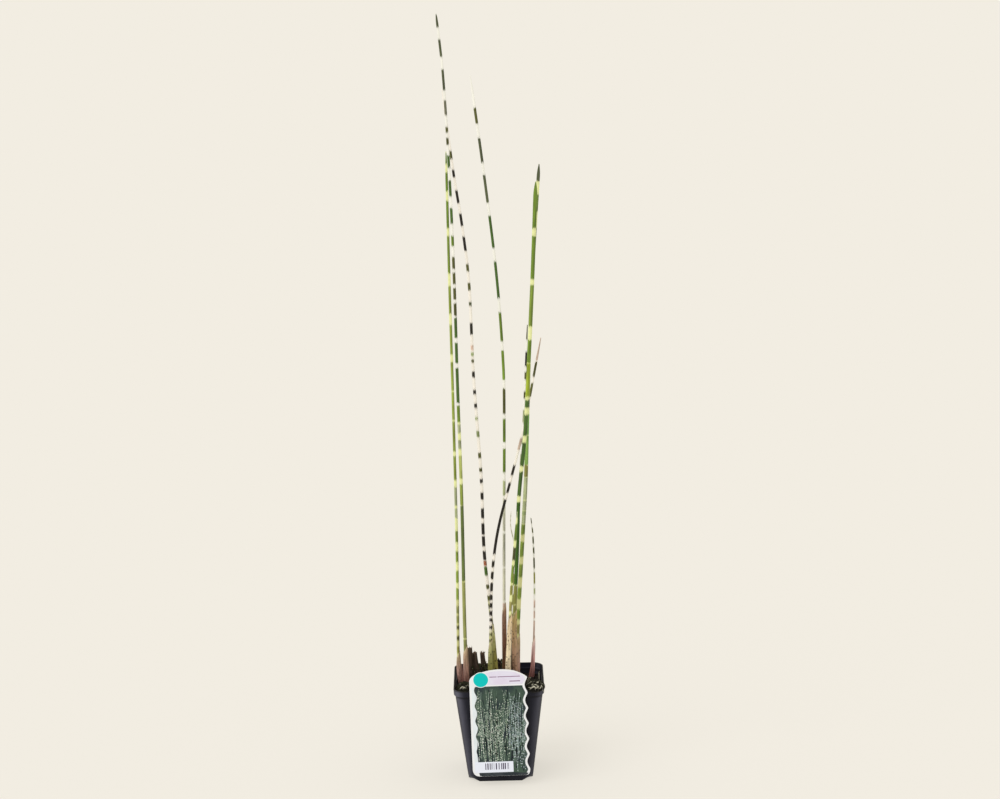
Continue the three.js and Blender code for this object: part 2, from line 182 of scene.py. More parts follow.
# Each culm has its radius at the peat and near the tip, and the length of its pointed tip. Its
# pale bands have a colour from a height on, read from the tip down. Its route is its centre line
# from the peat to the tip. Its rhythm is read from the tip down: from a height on, the length of
# a green stretch, the length of the pale band under it, and the stretch's colour, repeated until
# the next height
CULMS = (
    Culm(
        "far_left", 1.5, 1.25, 30, ((623, "yellow"), (180, "straw")),
        ((-37.8, 8, 80), (-39.9, 8.4, 106), (-39.8, 9, 150), (-38.8, 11, 240), (-39.1, 15, 380),
         (-39.7, 19, 500), (-39.9, 24, 623)),
        ((622, 11, 8, "green"), (603, 18, 10, "green"), (575, 26, 8, "green"),
         (541, 36, 13, "moss_olive"), (492, 27, 11, "bright_green"), (454, 29, 8, "bright_green"),
         (417, 29, 1.5, "bright_green"), (358, 30, 5, "bright_green"), (323, 24, 7, "bright_green"),
         (292, 19, 3, "sage"), (270, 9, 13, "sage"), (247, 11, 9, "spring_olive"),
         (206, 12, 7, "spring_olive"), (170, 9, 3, "olive_lime"), (150, 4, 7, "dark_olive"),
         (128, 6, 9, "olive")),
    ),
    Culm(
        "tallest", 1.85, 1.1, 10, ((757, "cream"), (370, "yellow")),
        ((-32.2, -4, 88), (-32.8, -5.5, 160), (-32.5, -9, 280), (-33.7, -14, 400),
         (-34.2, -19, 500), (-36, -24.5, 600), (-39.7, -30.5, 700), (-44.6, -34, 757)),
        ((756, 11, 11, "grey_olive"), (733, 16, 12, "grey_olive"), (705, 20, 10, "grey_olive"),
         (676, 13.7, 11.3, "ash_olive"), (651, 5.2, 5.3, "dark_olive"),
         (640.5, 6.2, 10.3, "dark_olive"), (624, 12, 13, "deep_green"),
         (600, 14, 11, "deep_green"), (547, 10, 11, "green"), (526, 11, 4, "dark_olive"),
         (481, 13, 2, "dark_olive"), (467, 19, 5, "deep_green"), (417, 35, 2, "deep_green"),
         (380, 17, 2, "green"), (361, 9, 7, "sage"), (329, 23, 6, "yellow_green"),
         (300, 22, 1, "bright_green"), (278, 76, 0.3, "dull_green"),
         (200, 69, 1, "olive_lime")),
    ),
    Culm(
        "dotted", 1.75, 1.2, 30, ((682, "pink_cream"), (176, "straw")),
        ((-2.6, 8, 88), (-6.6, 9.5, 160), (-11.8, 12, 225), (-13.1, 15.5, 300), (-18.3, 21, 400),
         (-20.8, 27, 495), (-26.2, 30.5, 550), (-33.2, 34, 600), (-42.6, 40, 682)),
        ((622.5, 8, 10.5, "dark_olive"), (604, 7, 13, "black_brown"),
         (584, 13, 11, "black_brown"), (539, 13, 13, "black_brown"), (512, 7, 12, "dark_olive"),
         (475, 4, 17, "grey_olive"), (454, 10.4, 10.9, "black_brown"), (432, 5, 3, "tan_pink"),
         (425, 3, 4, "grey_green"), (418, 2.4, 9, "dark_olive"), (406, 5.2, 12.7, "black_brown"),
         (388, 4.5, 9, "black_brown"), (361, 3, 11, "grey_green"), (347, 6, 16, "grey_green"),
         (325, 5, 10, "dark_olive"), (310, 4, 7, "dark_olive"), (299, 4, 9, "black_brown"),
         (285, 6.7, 9.5, "black_brown"), (269, 9.6, 5.2, "black_brown"),
         (254, 12.2, 1.4, "black_brown"), (241, 10.8, 4.5, "black_brown"),
         (226, 9.2, 0.3, "black_brown"), (216, 5.3, 0.5, "rust"), (210, 9.2, 9.9, "deep_green"),
         (191, 3.5, 7.8, "dark_olive"), (180, 5, 3, "dark_olive")),
    ),
    Culm(
        "arching", 1.6, 1.1, 30, ((439, "pink_cream"), (146, "straw")),
        ((-8.6, -1, 88), (-6.6, 1, 158), (-3.8, 3.5, 208), (2.8, 6, 250), (16.5, 9.5, 300),
         (30, 13, 350), (40.6, 17, 400), (48.6, 20, 439)),
        ((439, 22, 2, "ash_pink"), (415, 14, 7, "dark_olive"), (394, 17, 18, "dark_olive"),
         (340, 10, 14, "ash_pink"), (313, 10, 7, "black_brown"), (296, 10, 7, "black_brown"),
         (279, 55, 6, "black_brown"), (218, 7, 4.5, "black_brown"),
         (195, 8, 4, "black_brown"), (183, 5.3, 2.8, "black_brown"), (159, 3.9, 4.8, "black_brown"),
         (144, 2.6, 3.6, "dark_olive")),
    ),
    Culm(
        "centre", 1.5, 1.3, 30, ((694, "cream"),),
        ((5.9, 18, 88), (7, 20.5, 170), (8.6, 24, 250), (10.9, 30, 350), (11.2, 34, 410),
         (6.3, 40, 500), (-4, 48, 600), (-15.2, 56, 694)),
        ((662, 15, 14, "dark_olive"), (633, 24, 12, "grey_olive"), (597, 27, 13, "grey_olive"),
         (557, 31, 14, "deep_green"), (512, 36, 14, "deep_green"), (462, 30, 10, "green"),
         (386, 25, 5, "dark_olive"), (356, 23, 7, "green"), (326, 24, 8, "green"),
         (294, 15, 3, "sage"), (276, 30, 2, "silver"), (169, 20, 2, "ash_pink")),
    ),
    Culm(
        "right_back", 2.2, 1.6, 12, ((612, "yellow"), (260, "straw")),
        ((17.9, 3, 88), (20, 2.2, 147), (25.8, 0.6, 230), (30.9, -0.6, 300), (33.1, -1.5, 351),
         (37.2, -3, 440), (42, -4.4, 517), (49.4, -6, 612)),
        ((612.5, 16.5, 12.8, "grey_olive"), (583, 16, 16.5, "green"), (550, 56, 1, "moss_olive"),
         (494, 36, 3, "moss_olive"), (455, 15, 0.2, "yellow_green"), (440, 27, 1, "green"),
         (412, 28, 2, "lime"), (382, 8, 7, "deep_green"), (367, 21, 0.5, "leaf_green"),
         (346, 30, 0.5, "light_green"), (315.7, 12, 0.5, "olive"), (303.5, 23, 0.5, "sage"),
         (280, 10.5, 0.5, "sage"), (269.4, 4.6, 0.1, "grey_green"), (264.8, 9, 0.2, "sage"),
         (255.6, 10.2, 7.7, "moss_olive"), (237.7, 15, 8.2, "moss_olive"),
         (214.5, 13.5, 10.4, "spring_olive"), (190.6, 11.4, 11.5, "spring_olive"),
         (167.7, 10, 6.1, "moss_olive"), (151.6, 8.9, 5, "fawn")),
    ),
    Culm(
        "right_front", 1.8, 1.95, 14, ((597, "yellow"),),
        ((17.3, -8, 88), (16.6, -9.5, 150), (21.3, -12, 237), (23.6, -13.4, 285),
         (31.2, -15.3, 354), (36.7, -17.6, 436), (41.7, -19.9, 520), (45.6, -22, 597)),
        ((597, 44.5, 7.5, "green"), (545, 41.5, 6.3, "green"), (497.3, 40, 13.8, "moss_olive"),
         (443.5, 22.5, 0.5, "green"), (420.8, 33, 3, "lime"), (384.6, 8, 7, "deep_green"),
         (369.7, 21, 7, "deep_green"), (341.6, 23, 6, "deep_green"),
         (312.4, 24.3, 6.6, "deep_green"), (281.5, 85, 0.5, "forest"),
         (196.3, 20, 0.5, "olive"), (176, 30, 1, "olive")),
    ),
    Culm(
        "right_thin", 1.05, 0.9, 30, ((450, "cream"),),
        ((13.3, 13, 88), (14.9, 14, 150), (18.8, 17, 220), (25.4, 22, 300), (30.3, 26, 360),
         (35.8, 32, 450)),
        ((450, 15, 12, "dark_olive"), (423, 14, 6, "black_brown"), (403, 7, 12, "dark_olive"),
         (365, 10, 9, "sage"), (300, 14, 8, "green"), (220, 12, 8, "olive")),
    ),
    Culm(
        "short_left", 1.5, 1.3, 30, ((276, "yellow"),),
        ((8.3, -15, 88), (11.6, -17, 150), (14.8, -21, 200), (18.7, -26, 242), (21.8, -30, 276)),
        ((276, 5, 6, "sage"), (263.3, 16.7, 7.3, "green"), (239.3, 13.6, 5.3, "dark_olive"),
         (220.4, 18, 3.7, "moss_olive"), (198.8, 8.9, 8, "olive"), (181.9, 9.9, 5, "fawn")),
    ),
    Culm(
        "wispy", 0.75, 0.6, 30, ((262, "pink_cream"),),
        ((17.2, 14.5, 88), (17.8, 20, 150), (19.3, 25, 190), (18, 27, 229), (15.1, 27, 247),
         (15.9, 27, 262)),
        ((258.7, 2.6, 2.1, "silver"), (254, 3.1, 2, "silver"), (248.9, 3.2, 3.1, "silver"),
         (242.6, 5.2, 8, "silver"), (225, 3, 9, "tan_pink"), (150, 4, 12, "silver")),
    ),
    Culm(
        "far_right", 0.95, 0.8, 30, ((260.5, "cream"),),
        ((33.9, 26, 88), (36.8, 20, 146.5), (37.8, 14, 202.5), (36.9, 8, 243.5), (35.3, 5, 260.5)),
        ((260, 5, 5, "dark_olive"), (240, 6, 4, "dark_olive"), (218, 11, 4, "dark_olive"),
         (202, 12, 5, "olive"), (185, 5, 6, "sage"), (172, 10, 3, "tan_pink"),
         (150, 60, 1, "tan_pink")),
    ),
)

# The sheath round each culm's foot: the height of its mouth, how far it flares, its colours
# from the foot to the mouth, how spotted it is, and the dead scales beside it, each with its
# foot, its top and its width
SHEATHS = {
    "far_left": Sheath(120, 0.3, ("#8a5e5a", "#b08c82", "#a39470"), 0.3, ()),
    "tallest": Sheath(130, 0.6, ("#6e413e", "#a07c70", "#b09a7c"), 0.2, (
        ((-36.4, -1, 88), (-37, 0, 113), 1.7), ((-33, -8.4, 88), (-34.6, -7.6, 109), 0.7),
    )),
    "dotted": Sheath(146, 0.9, ("#8a8048", "#a09c50", "#c0c290"), 0.9, ()),
    "arching": Sheath(134, 0.6, ("#7d7640", "#8f8f4c", "#b0b07c"), 0.9, ()),
    "centre": Sheath(165, 0.1, ("#80603c", "#7a5240", "#957560"), 0.6, ()),
    "right_back": Sheath(138, 0.1, ("#8c645c", "#b08c7c", "#a8946c"), 0.6, ()),
    "right_front": Sheath(168, 0.1, ("#7e5a4e", "#b08e74", "#a8945e"), 0.8, ()),
    "right_thin": Sheath(148, 0.6, ("#2a1c12", "#5c4030", "#93785e"), 0.2, ()),
    "short_left": Sheath(166, 0.9, ("#a88e6c", "#efdfbe", "#d2ba94"), 0.8, ()),
    "wispy": Sheath(112, 0.4, ("#7a5a44", "#a58a6c", "#c4b08c"), 0.2, ()),
    "far_right": Sheath(130, 0.6, ("#94605c", "#c4938f", "#e8ccc6"), 0.1, (
        ((30.6, 23, 88), (35.2, 22.6, 118), 1.6),
    )),
}

# Stubs of old culms: [x, y] of the foot, [x, y, z] of the top, and the radius at each
STUBS = (
    Stub("cut_stub_left", (-27.6, 6.4), (-28.5, 9, 126), 2.8, 2.3),
    Stub("cut_stub_middle", (-20.2, 8.2), (-24.2, 12.5, 119.5), 3.8, 2.7),
    Stub("cut_stub_right", (-13.6, 16), (-16.1, 18, 118), 3.6, 2.3),
    Stub("cut_stub_back", (-0.2, 26), (0.6, 27, 105), 2.6, 2.1),
)

# Each cushion has its centre, its radii, and how many shoots and loose pale strands it bears. Its
# curls are pale rolled leaves on it: the place [x, y] of one end, the direction it sets off in, its
# length, how far it turns and its width
MOSSES = (
    Moss("moss_left", (-34.5, -21, 92), (8, 13, 6.5), 620, 4, (
        (-39.6, -30, -10, 6, 60, 1.7), (-36.2, -31.4, 40, 4, -60, 1.2),
        (-38.6, -23, 70, 4, 90, 0.6),
    )),
    Moss("moss_right", (35.4, -34, 98), (9.2, 13.5, 5), 640, 9, (
        (28.7, -41.5, -70, 6, 60, 0.9), (30.2, -45.2, -15, 6, 50, 1.5),
        (33.2, -43.4, -25, 5, -60, 1.2), (35.6, -46.6, 15, 6, 70, 1.5), (36.8, -38, 20, 4.5, 80, 1.4),
        (30, -37, 75, 6, -70, 0.8), (33.4, -36.4, 60, 6, -50, 0.7), (39, -46, 30, 5.5, 70, 1.2),
        (41, -43.5, 60, 5, 40, 1.0), (37, -42.4, -40, 5, -70, 1.0), (41.6, -38.5, -80, 6, 30, 0.8),
        (34.6, -40.4, -60, 5, 80, 1.0), (31.6, -41.6, 10, 4, 90, 0.8),
    )),
)

# Pale roots over the peat and up the pot's wall, as points [x, y, z]
ROOTS = (
    ((31.8, 4.5, 88.5), (31, 6, 91), (31.4, 8.5, 93), (32.8, 11, 93.5)),
    ((29, 10, 88.5), (29.6, 12, 91), (31, 13.5, 92.5), (32.6, 14, 92)),
    ((41, 18.5, 96.8), (40.2, 16.5, 94.5), (40, 14, 92), (40.6, 11.5, 90.3)),
    ((41.2, 14, 96), (40.8, 11, 93.5), (41, 7, 92)),
    ((37, -12, 90), (38.4, -9, 93), (39.6, -7, 94), (40.6, -8, 92.5)),
)

# Grains of perlite: [x, y] and radius
GRAINS = ((38.4, -16, 1.3), (26.6, -12.4, 1.5), (-24.6, -6.2, 1.2))


def linear(hex_colour):
    """A colour written as #rrggbb, as the linear red, green, blue and alpha that a shader takes."""
    parts = [int(hex_colour[i:i + 2], 16) / 255 for i in (1, 3, 5)]
    bright = [p / 12.92 if p <= 0.04045 else ((p + 0.055) / 1.055) ** 2.4 for p in parts]
    return (*bright, 1.0)


def colour_property(name, description, hex_colour):
    """A colour given as #rrggbb, that Blender shows as a swatch."""
    return FloatVectorProperty(
        name=name, description=description, default=linear(hex_colour), size=4,
        subtype="COLOR", min=0.0, max=1.0,
    )


def length_property(name, description, length):
    """A length given in millimetres, that Blender shows in the scene's own unit."""
    return FloatProperty(
        name=name, description=description, default=length * MM, min=0.0,
        unit="LENGTH", precision=4,
    )


class PotSettings(bpy.types.PropertyGroup):
    height: length_property("Height", "Height of the pot from foot to rim", 98)
    rim_half: length_property("Rim half width", "Half the outside width at the rim", 45)
    collar_half: length_property("Collar half width", "Half the width at the collar's foot", 44.6)
    collar_height: length_property("Collar height", "Height of the stepped collar", 6)
    shoulder_half: length_property(
        "Shoulder half width", "Half the body's width under the collar", 43.4,
    )
    foot_half: length_property("Foot half width", "Half the outside width at the foot", 32)
    corner_radius: length_property("Corner radius", "Radius of the upright corners", 11)
    wall: length_property("Wall", "Thickness of the moulded wall", 1.1)
    colour: colour_property("Colour", "Dark plastic of the pot", "#161722")
    # This colour serves for real dust and also for the painted highlight on the pot's corners
    dust: colour_property("Dust", "Dried soil, scuffs and wear on the plastic", "#7e7f92")


class PeatSettings(bpy.types.PropertyGroup):
    crumbs: IntProperty(name="Crumbs", description="Loose crumbs on the peat", default=820, min=0)
    fibres: IntProperty(name="Fibres", description="Loose fibres on the peat", default=190, min=0)
    dark: colour_property("Dark", "Moist peat", "#120d0a")
    light: colour_property("Light", "Drier crumbs and fibres", "#4a3322")
    root: colour_property("Root", "Pale living roots", "#a9a893")


class CulmSettings(bpy.types.PropertyGroup):
    ring_spacing: length_property("Ring spacing", "Distance between rings of points", 1.1)
    sides: IntProperty(name="Sides", description="Points round a culm", default=12, min=6)
    raggedness: FloatProperty(
        name="Raggedness", description="How unevenly a band ends, in millimetres",
        default=2.2, min=0.0,
    )


class SheathSettings(bpy.types.PropertyGroup):
    ring_spacing: length_property("Ring spacing", "Distance between rings of points", 1.8)
    sides: IntProperty(name="Sides", description="Points round a sheath", default=28, min=8)
    edge: colour_property("Edge", "Dry papery edge of the mouth", "#cdbb9c")


class MossSettings(bpy.types.PropertyGroup):
    dark: colour_property("Dark", "Old and shaded shoots", "#0f0c08")
    light: colour_property("Light", "Young shoots", "#47492c")
    strand: colour_property("Strand", "Pale curled leaves and strands", "#c2c0b0")


class LabelSettings(bpy.types.PropertyGroup):
    plastic: colour_property("Plastic", "White sheet and strap", "#eef1f8")
    header: colour_property("Header", "Tint behind the heading", "#ded6ee")
    disc: colour_property("Disc", "Round colour mark", "#00c4c4")
    rule: colour_property("Rules", "Plain rules in the heading", "#8f6f92")
    ground_dark: colour_property("Picture, dark", "Shade between the pictured reeds", "#2c383e")
    ground_green: colour_property("Picture, green", "Green of the pictured reed bed", "#43564b")


class StageSettings(bpy.types.PropertyGroup):
    distance: length_property("Distance", "From the camera to the pot's middle, along the floor", 2200)
    height: length_property("Height", "Height of the camera", 833.19)
    offset: length_property("Offset", "How far the camera stands to the right", 7.232)
    pitch: FloatProperty(
        name="Pitch", description="How far the camera looks down",
        default=math.radians(11.593), subtype="ANGLE",
    )
    roll: FloatProperty(
        name="Roll", description="Turn of the camera about its line of sight",
        default=math.radians(-1.235), subtype="ANGLE",
    )
    lens: FloatProperty(name="Lens", description="Focal length", default=82.64, unit="CAMERA")
    backdrop: colour_property("Backdrop", "Pale surroundings", "#f2ede2")
    floor: colour_property("Floor", "Pale floor", "#e8e7e5")
    glow: FloatProperty(
        name="Glow", description="Share of the floor's light that comes from below it",
        default=0.65, min=0.0, max=1.0, subtype="FACTOR",
    )


class ZebraRushSettings(bpy.types.PropertyGroup):
    pot: PointerProperty(type=PotSettings, name="Pot", description="The square nursery pot")
    peat: PointerProperty(type=PeatSettings, name="Peat", description="The peat in the pot")
    culm: PointerProperty(type=CulmSettings, name="Culms", description="The banded culms")
    sheath: PointerProperty(type=SheathSettings, name="Sheaths", description="The basal sheaths")
    moss: PointerProperty(type=MossSettings, name="Moss", description="The moss cushions")
    label: PointerProperty(type=LabelSettings, name="Label", description="The plant label")
    stage: PointerProperty(type=StageSettings, name="Stage", description="Floor, light and camera")


def millimetres(length):
    """A setting's length, which Blender holds in metres, as millimetres."""
    return length / MM


def blend(low, high, share):
    """The value at a share of the way from low to high."""
    return low + (high - low) * share


def blend_colours(first, second, share):
    """The colour at a share of the way from the first to the second."""
    return tuple(blend(a, b, share) for a, b in zip(first, second))


def toned(colour, factor):
    """A colour made darker or lighter, up to full white."""
    return tuple(min(part * factor, 1) for part in colour)


def turns_round(count):
    """Even angles all the way round."""
    return [2 * math.pi * i / count for i in range(count)]


def outward(turn):
    """The level direction at an angle round the upright."""
    return Vector((math.cos(turn), math.sin(turn), 0))


def new_mesh(name, points, faces):
    """A mesh from points in millimetres."""
    mesh = bpy.data.meshes.new(name)
    mesh.from_pydata([tuple(part * MM for part in point) for point in points], [], faces)
    return mesh


def add_to_scene(name, data):
    """A new object in the scene that shows a mesh, a light or a camera."""
    made = bpy.data.objects.new(name, data)
    bpy.context.scene.collection.objects.link(made)
    return made


def smooth(low, high, value):
    """0 below low, 1 above high, and a smooth rise between."""
    share = min(max((value - low) / (high - low), 0.0), 1.0)
    return share * share * (3 - 2 * share)


class Clay:
    """The points, faces and per-point values of a piece that is being modelled."""

    def __init__(self):
        self.points = []
        self.faces = []
        self.values = defaultdict(list)

    def add(self, shape, **values):
        """Adds points and faces. A value is one for all the points, or a list with one for each."""
        points, faces = shape
        start = len(self.points)
        self.points.extend(points)
        self.faces.extend([tuple(start + i for i in face) for face in faces])
        for name, value in values.items():
            each = value if isinstance(value, list) else [value] * len(points)
            self.values[name].extend(each)


def write_value(mesh, name, values):
    """Stores one number, vector or colour for each point, under a name that finishes read."""
    width = 1 if np.isscalar(values[0]) else len(values[0])
    kind, field_name = {
        1: ("FLOAT", "value"), 3: ("FLOAT_VECTOR", "vector"), 4: ("FLOAT_COLOR", "color"),
    }[width]
    attribute = mesh.attributes.new(name, kind, "POINT")
    attribute.data.foreach_set(field_name, np.array(values, dtype=np.float32).ravel())


def make_piece(clay, name, finish, nodes=(), flat=False):
    """Turns clay into an object that rides on the only body and stands for the CAD nodes given."""
    mesh = new_mesh(name, clay.points, clay.faces)
    for value_name, values in clay.values.items():
        write_value(mesh, value_name, values)
    mesh.materials.append(finish)
    mesh.polygons.foreach_set("use_smooth", [not flat] * len(mesh.polygons))
    mesh.validate()
    piece = add_to_scene(name, mesh)
    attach(piece, BODY)
    if nodes:
        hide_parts(*nodes)
    return piece


def apply_modifiers(piece):
    """Makes the result of a piece's modifiers its mesh."""
    graph = bpy.context.evaluated_depsgraph_get()
    mesh = bpy.data.meshes.new_from_object(piece.evaluated_get(graph))
    piece.modifiers.clear()
    piece.data = mesh


def loft(rings, start_cap=True, end_cap=True):
    """The skin over rings that all have the same number of points, with its ends closed."""
    sides = len(rings[0])
    faces = []
    for i in range(len(rings) - 1):
        low, high = i * sides, (i + 1) * sides
        for j in range(sides):
            k = (j + 1) % sides
            faces.append((low + j, low + k, high + k, high + j))
    if start_cap:
        faces.append(tuple(range(sides - 1, -1, -1)))
    if end_cap:
        last = (len(rings) - 1) * sides
        faces.append(tuple(range(last, last + sides)))
    return [point for ring in rings for point in ring], faces


def tube(path, radii, sides):
    """A round tube along a path, with a radius at each of its points and closed ends."""
    rings = []
    across = None
    for i, (place, radius) in enumerate(zip(path, radii)):
        ahead = (path[min(i + 1, len(path) - 1)] - path[max(i - 1, 0)]).normalized()
        if across is None:
            across = ahead.orthogonal() if abs(ahead.z) < 0.5 else Vector((1, 0, 0))
        across = (across - ahead * across.dot(ahead)).normalized()
        other = ahead.cross(across)
        rings.append([
            place + (across * math.cos(turn) + other * math.sin(turn)) * radius
            for turn in turns_round(sides)
        ])
    return loft(rings)


def lump(centre, size, detail, roughness, seed):
    """A rough pebble: a ball of facets with its points moved in and out by noise."""
    ball = ICO_BALLS[detail]
    shift = Vector((seed * 7.31, seed * 3.77, seed * 1.93))
    points = []
    for point in ball[0]:
        out = 1 + roughness * field.noise(point * 1.6 + shift)
        points.append(Vector([point[i] * size[i] * out + centre[i] for i in range(3)]))
    return points, ball[1]


def ico_ball(detail):
    """Points and faces of a ball of equal triangles."""
    work = bpy.data.meshes.new("ball")
    build = bmesh.new()
    bmesh.ops.create_icosphere(build, subdivisions=detail, radius=1)
    build.to_mesh(work)
    build.free()
    points = [Vector(v.co) for v in work.vertices]
    faces = [tuple(p.vertices) for p in work.polygons]
    bpy.data.meshes.remove(work)
    return points, faces


ICO_BALLS = {detail: ico_ball(detail) for detail in (1, 2, 3, 5)}


def prism(outline, back, front):
    """A flat plate: an outline of (x, z) points, anticlockwise from the front, between two depths."""
    return loft([[Vector((x, y, z)) for x, z in outline] for y in (back, front)])


def strip_map(mesh, rings, sides, columns):
    """A UV map for a long tube: its skin is cut into lengths that lie side by side."""
    layer = mesh.uv_layers.new(name="OFBake")
    per_column = math.ceil((rings - 1) / columns)
    margin = 0.04
    lowest, used = 0.004, 0.99
    for_caps = 0.999
    spots = np.full((len(mesh.loops), 2), for_caps)
    corner = 0
    for face in range((rings - 1) * sides):
        ring, side = divmod(face, sides)
        column, step = divmod(ring, per_column)
        for j, i in ((side, step), (side + 1, step), (side + 1, step + 1), (side, step + 1)):
            across = margin + (1 - 2 * margin) * j / sides
            spots[corner] = ((column + across) / columns, lowest + used * i / per_column)
            corner += 1
    layer.data.foreach_set("uv", spots.ravel())


class Finish:
    """A procedural material being put together, with short ways to add nodes to it."""

    def __init__(self, name, roughness=0.5, specular=0.5):
        self.material = bpy.data.materials.new(name)
        self.material.use_nodes = True
        self.tree = self.material.node_tree
        self.shader = self.tree.nodes["Principled BSDF"]
        self.shader.inputs["Roughness"].default_value = roughness
        self.shader.inputs["Specular IOR Level"].default_value = specular

    def join(self, socket, value):
        """Feeds a socket from a node, or sets it where the value is a plain one."""
        if isinstance(value, bpy.types.NodeSocket):
            self.tree.links.new(value, socket)
        else:
            socket.default_value = value

    def node(self, kind, inputs, **settings):
        made = self.tree.nodes.new(kind)
        for name, value in settings.items():
            setattr(made, name, value)
        for socket, value in inputs.items():
            self.join(made.inputs[socket], value)
        return made

    def stored(self, name, output="Color"):
        """A value that make_piece stored on the points."""
        return self.node("ShaderNodeAttribute", {}, attribute_name=name).outputs[output]

    def place(self):
        """The place on the piece, in millimetres."""
        here = self.tree.nodes.new("ShaderNodeTexCoord").outputs["Object"]
        return self.stretched(here, (1 / MM, 1 / MM, 1 / MM))

    def parts(self, place):
        """The three parts of a place."""
        return self.node("ShaderNodeSeparateXYZ", {0: place}).outputs

    def stretched(self, place, scale):
        inputs = {0: place, 1: scale}
        return self.node("ShaderNodeVectorMath", inputs, operation="MULTIPLY").outputs[0]

    def noise(self, place, scale, detail=2.0, warp=0.0):
        inputs = {"Vector": place, "Scale": scale, "Detail": detail, "Distortion": warp}
        return self.node("ShaderNodeTexNoise", inputs).outputs["Fac"]

    def cells(self, place, scale):
        """How far a place is from the nearest of many scattered spots."""
        inputs = {"Vector": place, "Scale": scale}
        return self.node("ShaderNodeTexVoronoi", inputs).outputs["Distance"]

    def maths(self, operation, first, second=0.0):
        inputs = {0: first, 1: second}
        return self.node("ShaderNodeMath", inputs, operation=operation).outputs[0]

    def sum(self, *values):
        total = values[0]
        for value in values[1:]:
            total = self.maths("ADD", total, value)
        return total

    def times(self, first, second):
        return self.maths("MULTIPLY", first, second)

    def rise(self, value, low, high, start=0.0, end=1.0):
        """Start below low, end above high, and a smooth rise between."""
        inputs = {"Value": value, "From Min": low, "From Max": high, "To Min": start, "To Max": end}
        settings = {"interpolation_type": "SMOOTHSTEP"}
        return self.node("ShaderNodeMapRange", inputs, **settings).outputs["Result"]

    def mix(self, share, first, second, mode="MIX"):
        inputs = {0: share, 6: first, 7: second}
        settings = {"data_type": "RGBA", "blend_type": mode}
        return self.node("ShaderNodeMix", inputs, **settings).outputs[2]

    def shaded(self, colour, value):
        """A colour made darker or lighter by a factor that varies."""
        grey = self.node("ShaderNodeCombineColor", {0: value, 1: value, 2: value}).outputs[0]
        return self.mix(1.0, colour, grey, mode="MULTIPLY")

    def relief(self, height, strength, depth, under=None):
        """Bumps of a depth in millimetres, over those of an earlier relief."""
        inputs = {"Height": height, "Strength": strength, "Distance": depth * MM}
        if under:
            inputs["Normal"] = under
        return self.node("ShaderNodeBump", inputs).outputs["Normal"]

    def done(self, colour, roughness=None, normal=None):
        self.join(self.shader.inputs["Base Color"], colour)
        if roughness is not None:
            self.join(self.shader.inputs["Roughness"], roughness)
        if normal is not None:
            self.join(self.shader.inputs["Normal"], normal)
        return self.material


def pot_finish(pot):
    """Recycled dark plastic: near black on its faces, with patches of dust, a painted highlight that
    makes its corners paler and bluer, most on the left side and higher up, and a painted shadow under
    the collar.
    """
    finish = Finish("moulded_pot_plastic", specular=0.15)
    place = finish.place()
    across, along, height = finish.parts(place)
    flow = finish.noise(finish.stretched(place, (0.08, 0.08, 0.012)), 1.0, detail=3.0)
    cloud = finish.noise(place, 0.05, detail=4.0)
    grain = finish.noise(place, 2.6, detail=3.0)
    scuffs = finish.noise(finish.stretched(place, (0.9, 0.9, 0.16)), 1.0, detail=5.0, warp=0.6)
    dust = finish.times(finish.rise(scuffs, 0.56, 0.76), finish.rise(cloud, 0.4, 0.6))
    from_middle = finish.maths(
        "MINIMUM", finish.maths("ABSOLUTE", across), finish.maths("ABSOLUTE", along),
    )
    near_corner = finish.maths("SUBTRACT", from_middle, finish.times(height, POT_TAPER))
    # Painted highlight: the corners, the upper body and the left side grow paler, as if they caught
    # light from the left
    painted_corner_highlight = finish.times(finish.rise(near_corner, 21, 35), finish.rise(height, 0, 92, 0.3, 0.62))
    painted_corner_highlight = finish.times(painted_corner_highlight, finish.rise(across, -20, 40, 1.0, 0.55))
    painted_corner_highlight = finish.times(painted_corner_highlight, finish.rise(flow, 0.3, 0.7, 0.75, 1.2))
    colour = finish.shaded(tuple(pot.colour), finish.rise(flow, 0.3, 0.7, 0.8, 1.25))
    # The pale colour goes on as the painted highlight and as patches of dust
    colour = finish.mix(finish.sum(painted_corner_highlight, finish.times(dust, 0.1)), colour, tuple(pot.dust))
    # Painted shadow: a dark band just under the collar's ledge, where its shade would fall
    painted_ledge_shadow = finish.times(finish.rise(height, 88.5, 91.6), finish.rise(height, 92.2, 92.0))
    colour = finish.mix(finish.times(painted_ledge_shadow, 0.85), colour, linear(POT_LEDGE_SHADOW))
    lip = finish.rise(height, 96.6, 97.8, 0.0, 0.7)
    colour = finish.mix(lip, colour, linear(POT_LIP))
    rough = finish.sum(finish.rise(cloud, 0.3, 0.7, 0.42, 0.54), finish.times(dust, 0.25))
    normal = finish.relief(grain, 0.25, 0.12)
    normal = finish.relief(flow, 0.25, 0.5, under=normal)
    return finish.done(colour, rough, normal)


def peat_finish(peat):
    """Moist peat: near black, with drier brown crumbs and fibres."""
    finish = Finish("moist_peat", roughness=0.86, specular=0.3)
    place = finish.place()
    tone = finish.stored("tone", "Fac")
    root = finish.stored("root", "Fac")
    crumb = finish.noise(place, 1.1, detail=5.0)
    fine = finish.noise(place, 4.5, detail=4.0)
    share = finish.sum(finish.times(tone, 0.75), finish.rise(crumb, 0.45, 0.75, 0.0, 0.4))
    colour = finish.mix(share, tuple(peat.dark), tuple(peat.light))
    colour = finish.mix(root, colour, tuple(peat.root))
    colour = finish.shaded(colour, finish.rise(fine, 0.25, 0.75, 0.55, 1.35))
    rough = finish.rise(crumb, 0.3, 0.7, 0.95, 0.62)
    normal = finish.relief(finish.sum(crumb, finish.times(fine, 0.5)), 0.9, 0.5)
    return finish.done(colour, rough, normal)


